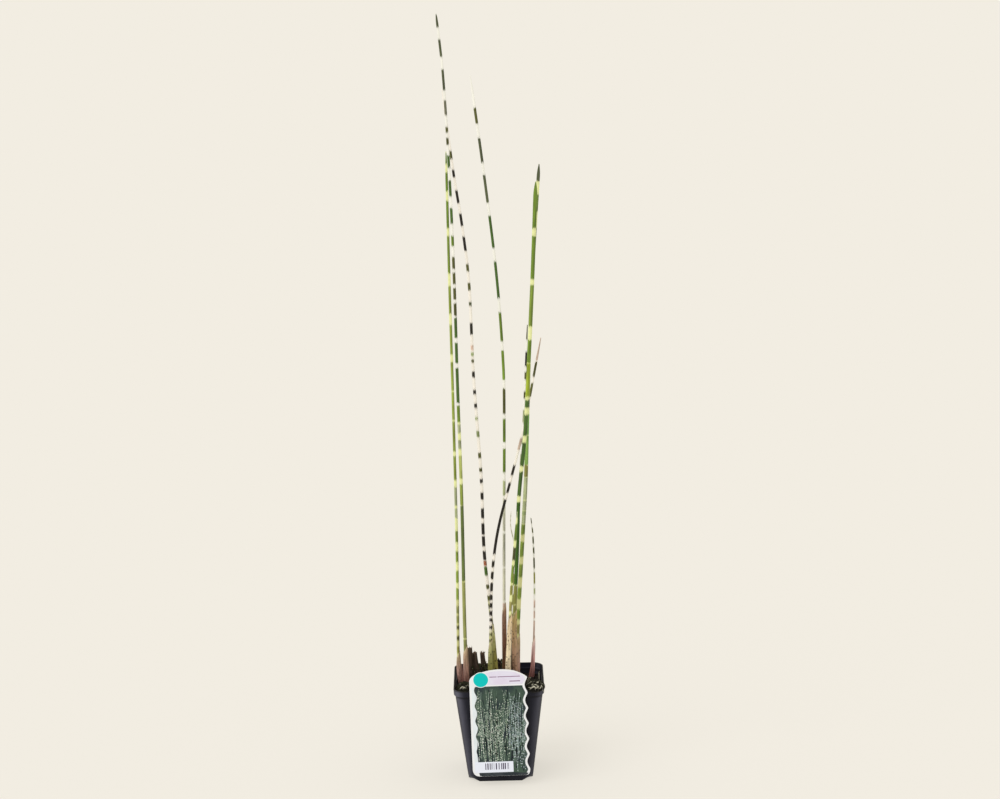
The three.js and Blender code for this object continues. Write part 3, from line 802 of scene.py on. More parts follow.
def culm_finish(raggedness):
    """Living culm: green stretches that end raggedly in pale bands, with fine lengthwise ribs, and
    painted shade that makes the green lighter on each culm's left side and darker on its right.
    """
    finish = Finish("banded_culm", roughness=0.42, specular=0.28)
    grain = finish.stored("grain", "Vector")
    pigment = finish.stored("pigment")
    pale = finish.stored("pale")
    depth = finish.stored("stripe", "Fac")
    ribs = finish.noise(finish.stretched(grain, (1.7, 1.7, 0.035)), 1.0, detail=2.0)
    flecks = finish.noise(finish.stretched(grain, (3.4, 3.4, 0.55)), 1.0, detail=3.0)
    clouds = finish.noise(finish.stretched(grain, (0.5, 0.5, 0.05)), 1.0, detail=3.0)
    fray = finish.sum(
        finish.rise(ribs, 0.25, 0.75, -raggedness / 2, raggedness / 2),
        finish.rise(flecks, 0.3, 0.7, -0.7, 0.7),
    )
    inked = finish.rise(finish.sum(depth, fray), -0.45, 0.45)
    fringe = finish.rise(depth, -3.2, 0.6)
    soft = finish.mix(finish.times(fringe, 0.2), pale, pigment)
    soft = finish.shaded(soft, finish.rise(clouds, 0.3, 0.7, 0.94, 1.03))
    rich = finish.shaded(pigment, finish.rise(clouds, 0.3, 0.7, 0.72, 1.28))
    rich = finish.shaded(rich, finish.rise(ribs, 0.3, 0.7, 0.85, 1.16))
    # Painted shade: the green stretches are lighter on the left side and darker on the right, as if lit
    # from the left
    across = finish.parts(grain)[0]
    rich = finish.shaded(rich, finish.rise(across, -1.3, 1.5, 1.2, 0.82))
    colour = finish.mix(inked, soft, rich)
    specks = finish.rise(flecks, 0.66, 0.74, 0.0, 0.3)
    colour = finish.mix(specks, colour, linear(CULM_SPECK))
    rough = finish.rise(flecks, 0.3, 0.7, 0.36, 0.52)
    normal = finish.relief(ribs, 0.55, 0.22)
    normal = finish.relief(flecks, 0.2, 0.08, under=normal)
    return finish.done(colour, rough, normal)


def sheath_finish(sheath):
    """Dry basal leaf: veined lengthwise, streaked and spotted, with a papery edge."""
    finish = Finish("veined_sheath", roughness=0.6, specular=0.35)
    grain = finish.stored("grain", "Vector")
    pigment = finish.stored("pigment")
    spots = finish.stored("spots", "Fac")
    edge = finish.stored("edge", "Fac")
    veins = finish.noise(finish.stretched(grain, (2.4, 2.4, 0.03)), 1.0, detail=2.0)
    streaks = finish.noise(finish.stretched(grain, (1.1, 1.1, 0.06)), 1.0, detail=4.0)
    blots = finish.cells(finish.stretched(grain, (0.55, 0.55, 0.3)), 1.0)
    patches = finish.noise(finish.stretched(grain, (0.4, 0.4, 0.09)), 1.0, detail=2.0)
    colour = finish.shaded(pigment, finish.rise(streaks, 0.3, 0.7, 0.66, 1.3))
    colour = finish.shaded(colour, finish.rise(veins, 0.3, 0.7, 0.84, 1.14))
    colour = finish.mix(edge, colour, tuple(sheath.edge))
    smear = finish.times(finish.rise(patches, 0.56, 0.66), finish.times(spots, 0.5))
    blot = finish.times(finish.rise(blots, 0.36, 0.24), finish.times(spots, 0.9))
    colour = finish.mix(smear, colour, linear(SHEATH_SMEAR))
    colour = finish.mix(blot, colour, linear(SHEATH_BLOT))
    rough = finish.rise(veins, 0.3, 0.7, 0.5, 0.72)
    normal = finish.relief(veins, 0.8, 0.3)
    return finish.done(colour, rough, normal)


def stub_finish():
    """Old cut culm: dark, weathered and fibrous, with moss at its foot."""
    finish = Finish("weathered_stub", roughness=0.75, specular=0.3)
    grain = finish.stored("grain", "Vector")
    pigment = finish.stored("pigment")
    fibres = finish.noise(finish.stretched(grain, (1.5, 1.5, 0.05)), 1.0, detail=4.0)
    decay = finish.noise(finish.stretched(grain, (0.35, 0.35, 0.12)), 1.0, detail=4.0)
    colour = finish.shaded(pigment, finish.rise(fibres, 0.3, 0.7, 0.55, 1.6))
    colour = finish.mix(finish.rise(decay, 0.55, 0.75, 0, 0.5), colour, linear(STUB_ASH))
    normal = finish.relief(fibres, 0.9, 0.5)
    return finish.done(colour, finish.rise(decay, 0.3, 0.7, 0.6, 0.85), normal)


def moss_finish():
    """Moss: each shoot has its own green, darker towards its foot."""
    finish = Finish("moss_cushion", roughness=0.7, specular=0.35)
    place = finish.place()
    pigment = finish.stored("pigment")
    mottle = finish.noise(place, 1.4, detail=3.0)
    colour = finish.shaded(pigment, finish.rise(mottle, 0.3, 0.7, 0.6, 1.35))
    normal = finish.relief(finish.noise(place, 5.0), 0.5, 0.2)
    return finish.done(colour, finish.rise(mottle, 0.3, 0.7, 0.6, 0.8), normal)


def perlite_finish():
    """Expanded white grains, pitted and stained by the peat."""
    finish = Finish("perlite_grain", roughness=0.85, specular=0.3)
    place = finish.place()
    pits = finish.cells(place, 2.2)
    stain = finish.noise(place, 0.9, detail=4.0)
    colour = finish.mix(finish.rise(stain, 0.5, 0.68), linear(PERLITE_WHITE), linear(PERLITE_STAIN))
    colour = finish.shaded(colour, finish.rise(pits, 0.0, 0.3, 0.6, 1.0))
    return finish.done(colour, normal=finish.relief(pits, 0.9, 0.25))


def plastic_finish(name, colour, roughness):
    """White label plastic: nearly even, with faint clouding and handling marks."""
    finish = Finish(name, roughness=roughness, specular=0.45)
    place = finish.place()
    cloud = finish.noise(place, 0.09, detail=3.0)
    marks = finish.noise(finish.stretched(place, (0.5, 0.5, 0.12)), 1.0, detail=4.0, warp=0.5)
    tint = finish.shaded(tuple(colour), finish.rise(cloud, 0.3, 0.7, 0.96, 1.0))
    tint = finish.mix(finish.rise(marks, 0.66, 0.76, 0.0, 0.12), tint, linear(HANDLING_MARK))
    rough = finish.rise(marks, 0.4, 0.7, roughness, roughness + 0.12)
    return finish.done(tint, rough, finish.relief(cloud, 0.15, 0.2))


def ink_finish(name, colour, other=None, scale=0.12, spread=0.12):
    """Printed ink: slightly uneven, or two inks that drift into each other."""
    finish = Finish(name, roughness=0.4, specular=0.15)
    place = finish.place()
    drift = finish.noise(place, scale, detail=3.0)
    dots = finish.noise(place, 3.2, detail=2.0)
    tint = tuple(colour)
    if other is not None:
        tint = finish.mix(finish.rise(drift, 0.38, 0.62), tuple(colour), tuple(other))
    tint = finish.shaded(tint, finish.rise(dots, 0.3, 0.7, 1 - spread, 1 + spread))
    return finish.done(tint, finish.rise(drift, 0.3, 0.7, 0.34, 0.46))


def rounded_square(half, corner, height, per_corner=7, per_side=13):
    """A ring of points round a square with round corners, at a height."""
    inner = half - corner
    ring = []
    for quarter in range(4):
        middle = (quarter + 0.5) * math.pi / 2
        side_x, side_y = math.copysign(inner, math.cos(middle)), math.copysign(inner, math.sin(middle))
        for i in range(per_corner):
            turn = quarter * math.pi / 2 + math.pi / 2 * i / (per_corner - 1)
            x, y = side_x + corner * math.cos(turn), side_y + corner * math.sin(turn)
            ring.append(Vector((x, y, height)))
        ahead = Vector((-math.sin(turn), math.cos(turn), 0))
        start = ring[-1]
        for i in range(1, per_side):
            ring.append(start + ahead * (2 * inner * i / per_side))
    return ring


def eased(profile, radius, steps=4):
    """A profile with its corners rounded: each gives way to a short curve."""
    points = [profile[0]]
    for before, corner, after in zip(profile, profile[1:], profile[2:]):
        reach_in = min(radius, (before - corner).length / 2.2)
        reach_out = min(radius, (after - corner).length / 2.2)
        start = corner + (before - corner).normalized() * reach_in
        end = corner + (after - corner).normalized() * reach_out
        for i in range(steps + 1):
            t = i / steps
            points.append(start * (1 - t) ** 2 + corner * 2 * t * (1 - t) + end * t ** 2)
    points.append(profile[-1])
    return points


def foot_lift(x, y):
    """How high the underside of the foot is: its corners are raised, and its cross stands."""
    return CORNER_LIFT * smooth(FOOT_PAD_HALF, FOOT_PAD_HALF + CORNER_SLOPE, min(abs(x), abs(y)))


def floor_rings(half, corner, base, inwards):
    """Rings over the pot's floor, from its middle to its edge or back."""
    rings = []
    for share in (0.04, 0.16, 0.28, 0.4, 0.52, 0.6, 0.66, 0.72, 0.77, 0.82, 0.88, 0.95):
        ring = rounded_square(half * share, corner * share, 0)
        rings.append([Vector((p.x, p.y, base + foot_lift(p.x, p.y))) for p in ring])
    return rings[::-1] if inwards else rings


def model_pot(pot):
    """The pot as one skin: under the foot, up the outside, over the lip and down the inside."""
    height, wall = millimetres(pot.height), millimetres(pot.wall)
    shoulder = height - millimetres(pot.collar_height)
    foot, shoulder_half = millimetres(pot.foot_half), millimetres(pot.shoulder_half)
    collar, rim = millimetres(pot.collar_half), millimetres(pot.rim_half)
    corner = millimetres(pot.corner_radius)
    slope = (shoulder_half - foot) / shoulder
    inside_step = shoulder + wall
    lip_slope = 0.3
    rounding = 0.45
    dent = 0.12
    outline = [
        (foot, 0), (foot + slope * FOOT_HEIGHT, FOOT_HEIGHT), (shoulder_half, shoulder),
        (collar, shoulder), (rim, height), (collar - wall + lip_slope, height),
        (collar - wall, inside_step), (foot + slope * inside_step - wall, inside_step),
        (foot + slope * FOOT_HEIGHT - wall, FOOT_HEIGHT), (foot + slope * 1.3 - wall, FLOOR_TOP),
    ]
    profile = eased([Vector((half, z, 0)) for half, z in outline], rounding)
    rings = floor_rings(foot, corner, 0, inwards=False)
    for half, z, _ in profile:
        radius = corner * half / (rim if half > foot else foot)
        ring = rounded_square(half, radius, 0)
        sink = 1 - smooth(0, FOOT_HEIGHT, z)
        for p in ring:
            p.z = z + foot_lift(p.x, p.y) * sink
            bulge = dent * field.noise(Vector((p.x * 0.03, p.y * 0.03, p.z * 0.03)))
            p.x, p.y = p.x * (1 + bulge / half), p.y * (1 + bulge / half)
        rings.append(ring)
    rings += floor_rings(foot - wall, corner - wall, FLOOR_TOP, inwards=True)
    clay = Clay()
    clay.add(loft(rings))
    return clay


def drill(piece, x, y, radius, low, high):
    """Cuts a round hole through a piece."""
    path = [Vector((x, y, low)), Vector((x, y, high))]
    bit = add_to_scene("drill", new_mesh("drill", *tube(path, [radius, radius], 28)))
    cut = piece.modifiers.new("drill", "BOOLEAN")
    cut.operation = "DIFFERENCE"
    cut.solver = "EXACT"
    cut.object = bit
    apply_modifiers(piece)
    bpy.data.objects.remove(bit)


class ZEBRARUSH_OT_pot(bpy.types.Operator):
    """Make the square nursery pot"""

    bl_idname = "zebra_rush.pot"
    bl_label = "Make Pot"

    def execute(self, context):
        pot = context.scene.zebra_rush.pot
        piece = make_piece(model_pot(pot), "nursery_pot", pot_finish(pot), ["pot"])
        for distance, radius in DRAIN_HOLES:
            for side_x in (-1, 1):
                for side_y in (-1, 1):
                    drill(piece, side_x * distance, side_y * distance, radius, -1, FOOT_HEIGHT)
        return {"FINISHED"}


def inner_half(pot, z):
    """Half the pot's inside width at a height in its body."""
    shoulder = millimetres(pot.height - pot.collar_height)
    slope = millimetres(pot.shoulder_half - pot.foot_half) / shoulder
    return millimetres(pot.foot_half) + slope * z - millimetres(pot.wall)


def peat_height(x, y):
    """The peat's surface without its crumbs."""
    height = PEAT_TOP
    for centre_x, centre_y, radius_x, radius_y, rise in MOUNDS:
        off = ((x - centre_x) / radius_x) ** 2 + ((y - centre_y) / radius_y) ** 2
        if off < 1:
            height = max(height, PEAT_TOP + rise * math.sqrt(1 - off))
    return height


def crumbly_height(x, y):
    """The peat's surface with its crumbs, and raised a little round each culm."""
    height = peat_height(x, y)
    spot = Vector((x, y, 0))
    height += 1.1 * field.noise(spot * 0.16)
    height += 0.7 * field.noise(spot * 0.42)
    height += 0.5 * (1 - 2 * abs(field.noise(spot * 0.9)))
    height += 0.25 * field.noise(spot * 2.1)
    for culm in CULMS:
        off = math.hypot(x - culm.route[0][0], y - culm.route[0][1])
        height += 1.4 * (1 - smooth(2, 8, off))
    return height


def to_round_corner(x, y, half, corner):
    """Moves a place in a square into the same square with round corners."""
    inner = half - corner
    over_x, over_y = abs(x) - inner, abs(y) - inner
    if over_x <= 0 or over_y <= 0:
        return x, y
    pull = max(over_x, over_y) / math.hypot(over_x, over_y)
    new_x, new_y = inner + over_x * pull, inner + over_y * pull
    return math.copysign(new_x, x), math.copysign(new_y, y)


def model_peat_block(clay, pot, cells=112):
    """The peat as a closed block with a crumbly top that fits the pot's inside."""
    corner = millimetres(pot.corner_radius - pot.wall)
    half = inner_half(pot, PEAT_TOP) - WALL_GAP
    low_half = inner_half(pot, PEAT_FLOOR) - WALL_GAP
    side = cells + 1
    points, faces = [], []
    for row in range(side):
        for column in range(side):
            x = half * (2 * column / cells - 1)
            y = half * (2 * row / cells - 1)
            x, y = to_round_corner(x, y, half, corner)
            points.append(Vector((x, y, crumbly_height(x, y))))
    for row in range(cells):
        for column in range(cells):
            first = row * side + column
            faces.append((first, first + 1, first + side + 1, first + side))
    border = list(range(cells))
    border += [row * side + cells for row in range(cells)]
    border += [cells * side + cells - column for column in range(cells)]
    border += [(cells - row) * side for row in range(cells)]
    shrink = low_half / half
    start = len(points)
    for index in border:
        edge = points[index]
        edge.z = min(edge.z, PEAT_TOP + HIGHEST_EDGE)
        points.append(Vector((edge.x * shrink, edge.y * shrink, PEAT_FLOOR)))
    count = len(border)
    for i in range(count):
        k = (i + 1) % count
        faces.append((border[k], border[i], start + i, start + k))
    faces.append(tuple(start + i for i in range(count - 1, -1, -1)))
    tones = [max(0.0, 0.25 * field.noise(point * 0.08)) for point in points]
    clay.add((points, faces), tone=tones, root=0.0)


def wander(start, direction, length, steps, bend, draw):
    """A path that sets off in a direction and strays a little at each step."""
    path = [start]
    heading = direction.normalized()
    for _ in range(steps):
        stray = Vector([draw.gauss(0, bend) for _ in range(3)])
        heading = (heading + stray).normalized()
        path.append(path[-1] + heading * (length / steps))
    return path


def smoothed(points, rounds=2):
    """A path with its corners cut off, again and again."""
    for _ in range(rounds):
        path = [points[0]]
        for before, after in zip(points, points[1:]):
            path += [before.lerp(after, 0.25), before.lerp(after, 0.75)]
        points = path + [points[-1]]
    return points


def model_crumbs(clay, half, count, draw):
    """Loose crumbs, mostly small, with a pale one here and there."""
    for i in range(count):
        x, y = draw.uniform(-half, half), draw.uniform(-half, half)
        size = 0.35 + 1.1 * draw.random() ** 2.5
        sizes = [size * draw.uniform(0.7, 1.3) for _ in range(3)]
        centre = (x, y, crumbly_height(x, y) + 0.25 * size)
        tone = 0.9 if draw.random() < 0.07 else 0.35 * draw.random()
        clay.add(lump(centre, sizes, 1, 0.9, i), tone=tone, root=0.0)


def model_fibres(clay, half, count, draw):
    """Fine fibres that lie on the peat and follow its surface."""
    for _ in range(count):
        x, y = draw.uniform(-half, half), draw.uniform(-half, half)
        start = Vector((x, y, crumbly_height(x, y) + 0.2))
        direction = Vector((draw.uniform(-1, 1), draw.uniform(-1, 1), draw.uniform(0, 0.5)))
        steps = 7
        path = wander(start, direction, draw.uniform(3, 9), steps, 0.28, draw)
        for point in path:
            ground = crumbly_height(point.x, point.y)
            point.x, point.y = min(max(point.x, -half), half), min(max(point.y, -half), half)
            point.z = min(max(point.z, ground + 0.1), ground + 1.6)
        thick = draw.uniform(0.09, 0.22)
        radii = [thick * (1 - 0.7 * i / steps) for i in range(steps + 1)]
        clay.add(tube(path, radii, 5), tone=draw.uniform(0.4, 1.0), root=0.15 * draw.random())


def model_roots(clay):
    """Pale roots that thin towards their ends."""
    for root in ROOTS:
        path = smoothed([Vector(point) for point in root])
        last = len(path) - 1
        radii = [0.34 - 0.22 * i / last for i in range(last + 1)]
        clay.add(tube(path, radii, 6), tone=0.5, root=0.9)


class ZEBRARUSH_OT_peat(bpy.types.Operator):
    """Make the peat, its crumbs and its fibres"""

    bl_idname = "zebra_rush.peat"
    bl_label = "Make Peat"

    def execute(self, context):
        rush = context.scene.zebra_rush
        draw = random.Random(11)
        half = inner_half(rush.pot, PEAT_TOP) - 3
        clay = Clay()
        model_peat_block(clay, rush.pot)
        model_crumbs(clay, half, rush.peat.crumbs, draw)
        model_fibres(clay, half, rush.peat.fibres, draw)
        model_roots(clay)
        make_piece(clay, "peat_block", peat_finish(rush.peat), ["peat"])
        return {"FINISHED"}


def route_slope(route, index, axis):
    """How far the centre line goes along an axis for each millimetre up, at one of its points."""
    before = route[max(index - 1, 0)]
    after = route[min(index + 1, len(route) - 1)]
    return (after[axis] - before[axis]) / (after[2] - before[2])


def route_place(route, height):
    """The centre line at a height: a smooth curve through the route's points."""
    if height <= route[0][2]:
        return Vector((route[0][0], route[0][1], height))
    if height >= route[-1][2]:
        return Vector((route[-1][0], route[-1][1], height))
    i = max(n for n, point in enumerate(route[:-1]) if point[2] <= height)
    low, high = route[i], route[i + 1]
    span = high[2] - low[2]
    t = (height - low[2]) / span
    place = []
    for axis in (0, 1):
        leave = route_slope(route, i, axis) * span * (t ** 3 - 2 * t ** 2 + t)
        arrive = route_slope(route, i + 1, axis) * span * (t ** 3 - t ** 2)
        ease = 3 * t ** 2 - 2 * t ** 3
        place.append(low[axis] * (1 - ease) + high[axis] * ease + leave + arrive)
    return Vector((*place, height))


def culm_radius(culm, height):
    """A culm thins slowly all the way up, and to a fine point over its last stretch."""
    tip = culm.route[-1][2]
    climb = max(height - PEAT_TOP, 0) / (tip - PEAT_TOP)
    body = blend(culm.radius, culm.top_radius, climb)
    share = math.sin(min(max(tip - height, 0) / culm.tip_length, 1) * math.pi / 2)
    return TIP_RADIUS + (body - TIP_RADIUS) * share


def green_stretches(culm):
    """The top, foot and colour of every green stretch, from the tip down."""
    draw = random.Random(culm.name)
    ends = [key[0] for key in culm.rhythm[1:]] + [CULM_FOOT]
    stretches = []
    for (start, green, pale, pigment), end in zip(culm.rhythm, ends):
        repeats = max(round((start - end) / (green + pale)), 1)
        step = (start - end) / repeats
        for i in range(repeats):
            top = start - i * step
            shade = draw.uniform(0.86, 1.14)
            colour = toned(linear(PIGMENTS[pigment]), shade)
            stretches.append((top, top - step * green / (green + pale), colour))
    return stretches


def depth_in_green(stretches, height):
    """How deep a height lies in a green stretch, less than 0 in a pale band, and its colour."""
    best = -50.0
    colour = stretches[0][2]
    for top, foot, shade in stretches:
        depth = min(top - height, height - foot)
        if depth > best:
            best, colour = depth, shade
    return best, colour


def pale_at(culm, height):
    """The colour of a culm's pale bands at a height."""
    drift = 8
    colour = linear(PALE_BANDS[culm.pale[0][1]])
    for top, name in culm.pale[1:]:
        share = smooth(top + drift, top - drift, height)
        colour = blend_colours(colour, linear(PALE_BANDS[name]), share)
    return colour


def model_culm(culm, spacing, sides):
    """A culm as a fine tube, with its bands, colours and grain stored on its points."""
    tip = culm.route[-1][2]
    count = int((tip - CULM_FOOT) / spacing)
    heights = [blend(CULM_FOOT, tip, i / count) for i in range(count + 1)]
    path = [route_place(culm.route, z) for z in heights]
    radii = [culm_radius(culm, z) for z in heights]
    stretches = green_stretches(culm)
    grain, stripe, pigment, pale = [], [], [], []
    run = 0.0
    for i, z in enumerate(heights):
        run += (path[i] - path[i - 1]).length if i else 0.0
        depth, colour = depth_in_green(stretches, z)
        for turn in turns_round(sides):
            grain.append((culm.radius * math.cos(turn), culm.radius * math.sin(turn), run))
        stripe.extend([depth] * sides)
        pigment.extend([colour] * sides)
        pale.extend([pale_at(culm, z)] * sides)
    clay = Clay()
    clay.add(tube(path, radii, sides), grain=grain, stripe=stripe, pigment=pigment, pale=pale)
    return clay, len(heights)


class ZEBRARUSH_OT_culms(bpy.types.Operator):
    """Make the banded culms"""

    bl_idname = "zebra_rush.culms"
    bl_label = "Make Culms"

    def execute(self, context):
        settings = context.scene.zebra_rush.culm
        finish = culm_finish(settings.raggedness)
        for culm in CULMS:
            spacing = millimetres(settings.ring_spacing)
            clay, rings = model_culm(culm, spacing, settings.sides)
            node = "culm_" + culm.name
            piece = make_piece(clay, "banded_" + node, finish, [node])
            strip_map(piece.data, rings, settings.sides, columns=8)
        return {"FINISHED"}


def sheath_mouth(sheath, turn, seed):
    """The height of a sheath's mouth at an angle: cut aslant, with a torn edge."""
    torn = field.noise(Vector((math.cos(turn) * 1.5, math.sin(turn) * 1.5, seed)))
    return sheath.mouth + SHEATH_SLANT * math.cos(turn) + 1.2 * torn


def sheath_radius(culm, sheath, height):
    """The outside of a sheath, which flares towards its foot."""
    above_peat = sheath.mouth - PEAT_TOP
    down = min(max((sheath.mouth - height) / above_peat, 0), 1)
    return culm.radius + SHEATH_GAP + SHEATH_THICKNESS + sheath.flare * down ** 1.5


def model_sheath(culm, sheath, spacing, sides, seed):
    """A sheath as a rolled leaf: up its ribbed outside, over its thin mouth and down its inside."""
    rings_up = int((sheath.mouth - SHEATH_FOOT) / spacing)
    tints = [linear(tint) for tint in sheath.tints]
    rings, grain, pigment, edge = [], [], [], []
    shares = [(i / rings_up, 1) for i in range(rings_up + 1)]
    shares += [(i / rings_up, 0) for i in range(rings_up, -1, -3)]
    for share, outside in shares:
        ring = []
        for j in range(sides):
            turn = 2 * math.pi * j / sides
            top = sheath_mouth(sheath, turn, seed)
            height = blend(SHEATH_FOOT, top, share)
            radius = sheath_radius(culm, sheath, height)
            to_mouth = top - height
            if outside:
                rib = 0.05 * math.sin(9 * turn + 0.04 * height)
                margin = 0.28 * j / sides * smooth(0, 12, to_mouth)
                radius += rib + margin - 0.3 * (1 - smooth(0, 6, to_mouth))
            else:
                radius -= SHEATH_THICKNESS + 0.12 * (1 - smooth(0, 6, to_mouth)) - 0.12
            ring.append(route_place(culm.route, height) + outward(turn) * radius)
            grain.append((2 * math.cos(turn), 2 * math.sin(turn), height))
            climb = min(max((height - PEAT_TOP) / (sheath.mouth - PEAT_TOP), 0), 1) * 2
            low, high = (tints[0], tints[1]) if climb < 1 else (tints[1], tints[2])
            pigment.append(blend_colours(low, high, climb if climb < 1 else climb - 1))
            edge.append(0.8 * (1 - smooth(0.3, 4, to_mouth)))
        rings.append(ring)
    clay = Clay()
    clay.add(loft(rings), grain=grain, pigment=pigment, edge=edge, spots=sheath.spots)
    for scale in sheath.scales:
        model_scale(clay, scale, tints)
    return clay, len(rings)


def model_scale(clay, scale, tints):
    """A narrow dead scale that stands beside a sheath, bent a little and drawn to a point."""
    foot, top, width = Vector(scale[0]), Vector(scale[1]), scale[2]
    steps = 14
    rings, grain, pigment = [], [], []
    for i in range(steps + 1):
        share = i / steps
        centre = foot.lerp(top, share) + Vector((0.5, 0, 0)) * math.sin(math.pi * share)
        half = width / 2 * (1 - 0.8 * share ** 2)
        ring = []
        for turn in turns_round(8):
            out = Vector((half * math.cos(turn), 0.35 * half * math.sin(turn), 0))
            ring.append(centre + out)
            grain.append((out.x, out.y, centre.z))
            pigment.append(blend_colours(tints[0], tints[1], 0.8 * share))
        rings.append(ring)
    clay.add(loft(rings), grain=grain, pigment=pigment, edge=0.0, spots=0.0)


class ZEBRARUSH_OT_sheaths(bpy.types.Operator):
    """Make the sheath round each culm's foot"""

    bl_idname = "zebra_rush.sheaths"
    bl_label = "Make Sheaths"

    def execute(self, context):
        settings = context.scene.zebra_rush.sheath
        finish = sheath_finish(settings)
        for seed, culm in enumerate(CULMS):
            sheath = SHEATHS[culm.name]
            spacing = millimetres(settings.ring_spacing)
            clay, rings = model_sheath(culm, sheath, spacing, settings.sides, seed)
            node = "sheath_" + culm.name
            piece = make_piece(clay, "rolled_" + node, finish, [node])
            strip_map(piece.data, rings, settings.sides, columns=3)
        return {"FINISHED"}


def stub_ends(stub):
    """The middle of a stub's foot and of its top."""
    return Vector((*stub.foot, STUB_FOOT)), Vector(stub.top)


def stub_radius(stub, share):
    """A stub's radius at a share of the way up."""
    return blend(stub.foot_radius, stub.top_radius, smooth(STUB_SWELL, 1, share))


def model_stub(stub, seed):
    """A cut culm's stub: a fibrous wall, frayed at the top, round its sunken pith."""
    foot, top = stub_ends(stub)
    wall, pith = linear(STUB_WALL), linear(STUB_PITH)
    sides, levels, sunken = 24, 20, 4
    rings, grain, pigment = [], [], []

    def add_ring(share, radius_share, drop, colour):
        ring = []
        centre = foot.lerp(top, share)
        radius = stub_radius(stub, share) * radius_share
        for turn in turns_round(sides):
            spot = Vector((math.cos(turn) * 1.3, math.sin(turn) * 1.3, seed * 3 + share * 2))
            ridge = 1 + 0.12 * field.noise(spot * 1.6) + 0.03 * math.sin(7 * turn)
            fray = 2.0 * field.noise(spot * 2.3) * smooth(0.9, 1, share)
            out = outward(turn) * radius * ridge
            ring.append(centre + out + Vector((0, 0, fray - drop)))
            grain.append((2 * math.cos(turn), 2 * math.sin(turn), centre.z))
            pigment.append(colour)
        rings.append(ring)

    for i in range(levels + 1):
        add_ring(i / levels, 1.0, 0, wall)
    add_ring(1, 0.86, 0, pith)
    for i in range(sunken):
        add_ring(1, 0.8 - 0.2 * i, 0.8 + 0.5 * i, pith)
    clay = Clay()
    clay.add(loft(rings), grain=grain, pigment=pigment)
    return clay


def fray_stub(clay, stub, draw):
    """Loose fibres that stand up from a stub's cut top."""
    fibres = 9
    for _ in range(fibres):
        turn = draw.uniform(0, 2 * math.pi)
        out = outward(turn) * stub.top_radius * 0.9
        start = Vector(stub.top) + out - Vector((0, 0, 1.5))
        path = wander(start, out * 0.12 + Vector((0, 0, 1)), draw.uniform(2, 4), 4, 0.12, draw)
        fibre = tube(path, [0.16, 0.15, 0.12, 0.08, 0.03], 5)
        clay.add(fibre, grain=[tuple(p) for p in fibre[0]], pigment=linear(STUB_FIBRE))


def moss_stub(clay, stub, settings, draw):
    """Moss and peat crumbs that climb a stub's foot."""
    foot, top = stub_ends(stub)
    dark, light = tuple(settings.dark), tuple(settings.light)
    reach, crumbs = 20, 95
    for i in range(crumbs):
        height = blend(PEAT_TOP, PEAT_TOP + reach, draw.random() ** 1.6)
        share = (height - foot.z) / (top.z - foot.z)
        turn = draw.uniform(0, 2 * math.pi)
        heaped = 1 - smooth(PEAT_TOP, PEAT_TOP + 0.8 * reach, height)
        radius = stub_radius(stub, share) + heaped * draw.uniform(0, 3.2)
        out = outward(turn)
        place = foot.lerp(top, share) + out * radius
        size = draw.uniform(0.6, 1.5)
        sizes = [size * draw.uniform(0.7, 1.2) for _ in range(3)]
        crumb = lump(place, sizes, 1, 0.9, i)
        clay.add(crumb, grain=[tuple(p) for p in crumb[0]], pigment=linear(STUB_SOIL))
        if draw.random() < 0.3:
            fleck = lump(place + out * size * 0.8, [0.45, 0.45, 0.45], 1, 0.6, i)
            clay.add(fleck, grain=[tuple(p) for p in fleck[0]], pigment=linear(STUB_FLECK))
        if draw.random() < 0.75:
            tuft = Clay()
            up = (out + Vector((0, 0, 0.9))).normalized()
            model_shoot(tuft, place, up, draw.uniform(1.4, 2.4), light, dark, draw)
            spots = [tuple(p) for p in tuft.points]
            clay.add((tuft.points, tuft.faces), grain=spots, pigment=tuft.values["pigment"])


class ZEBRARUSH_OT_stubs(bpy.types.Operator):
    """Make the stubs of old culms"""

    bl_idname = "zebra_rush.stubs"
    bl_label = "Make Stubs"

    def execute(self, context):
        finish = stub_finish()
        for seed, stub in enumerate(STUBS):
            draw = random.Random(seed + 70)
            clay = model_stub(stub, seed)
            fray_stub(clay, stub, draw)
            moss_stub(clay, stub, context.scene.zebra_rush.moss, draw)
            make_piece(clay, "frayed_" + stub.name, finish, [stub.name])
        return {"FINISHED"}


def on_dome(moss, turn, climb):
    """A place on a cushion and the direction out of it, by angle round and share of the way up."""
    flat = math.sqrt(max(1 - climb * climb, 0))
    unit = Vector((math.cos(turn) * flat, math.sin(turn) * flat, climb))
    place = Vector([moss.centre[i] + moss.radii[i] * unit[i] for i in range(3)])
    out = Vector([unit[i] / moss.radii[i] for i in range(3)]).normalized()
    return place, out


def clear_of_label(place):
    """Keeps a place off the label's back and its upper edge."""
    nearest = LABEL_BACK + 1
    if place.x < LABEL_REACH and place.y < nearest:
        place.y = nearest
    return place


def model_shoot(clay, foot, up, size, colour, dark, draw):
    """A moss shoot: a tuft of small pointed leaves."""
    side = up.orthogonal().normalized()
    other = up.cross(side)
    leaves = draw.randint(5, 7)
    for leaf in range(leaves):
        turn = 2 * math.pi * (leaf + draw.random() * 0.6) / leaves
        out = side * math.cos(turn) + other * math.sin(turn)
        spread = draw.uniform(0.3, 0.9)
        middle = foot + (up * 0.55 + out * 0.35 * spread) * size
        point = foot + (up * 0.95 + out * spread) * size
        shape = tube([foot, middle, point], [0.1 * size, 0.13 * size, 0.02 * size], 3)
        clay.add(shape, pigment=[dark] * 3 + [colour] * 6)


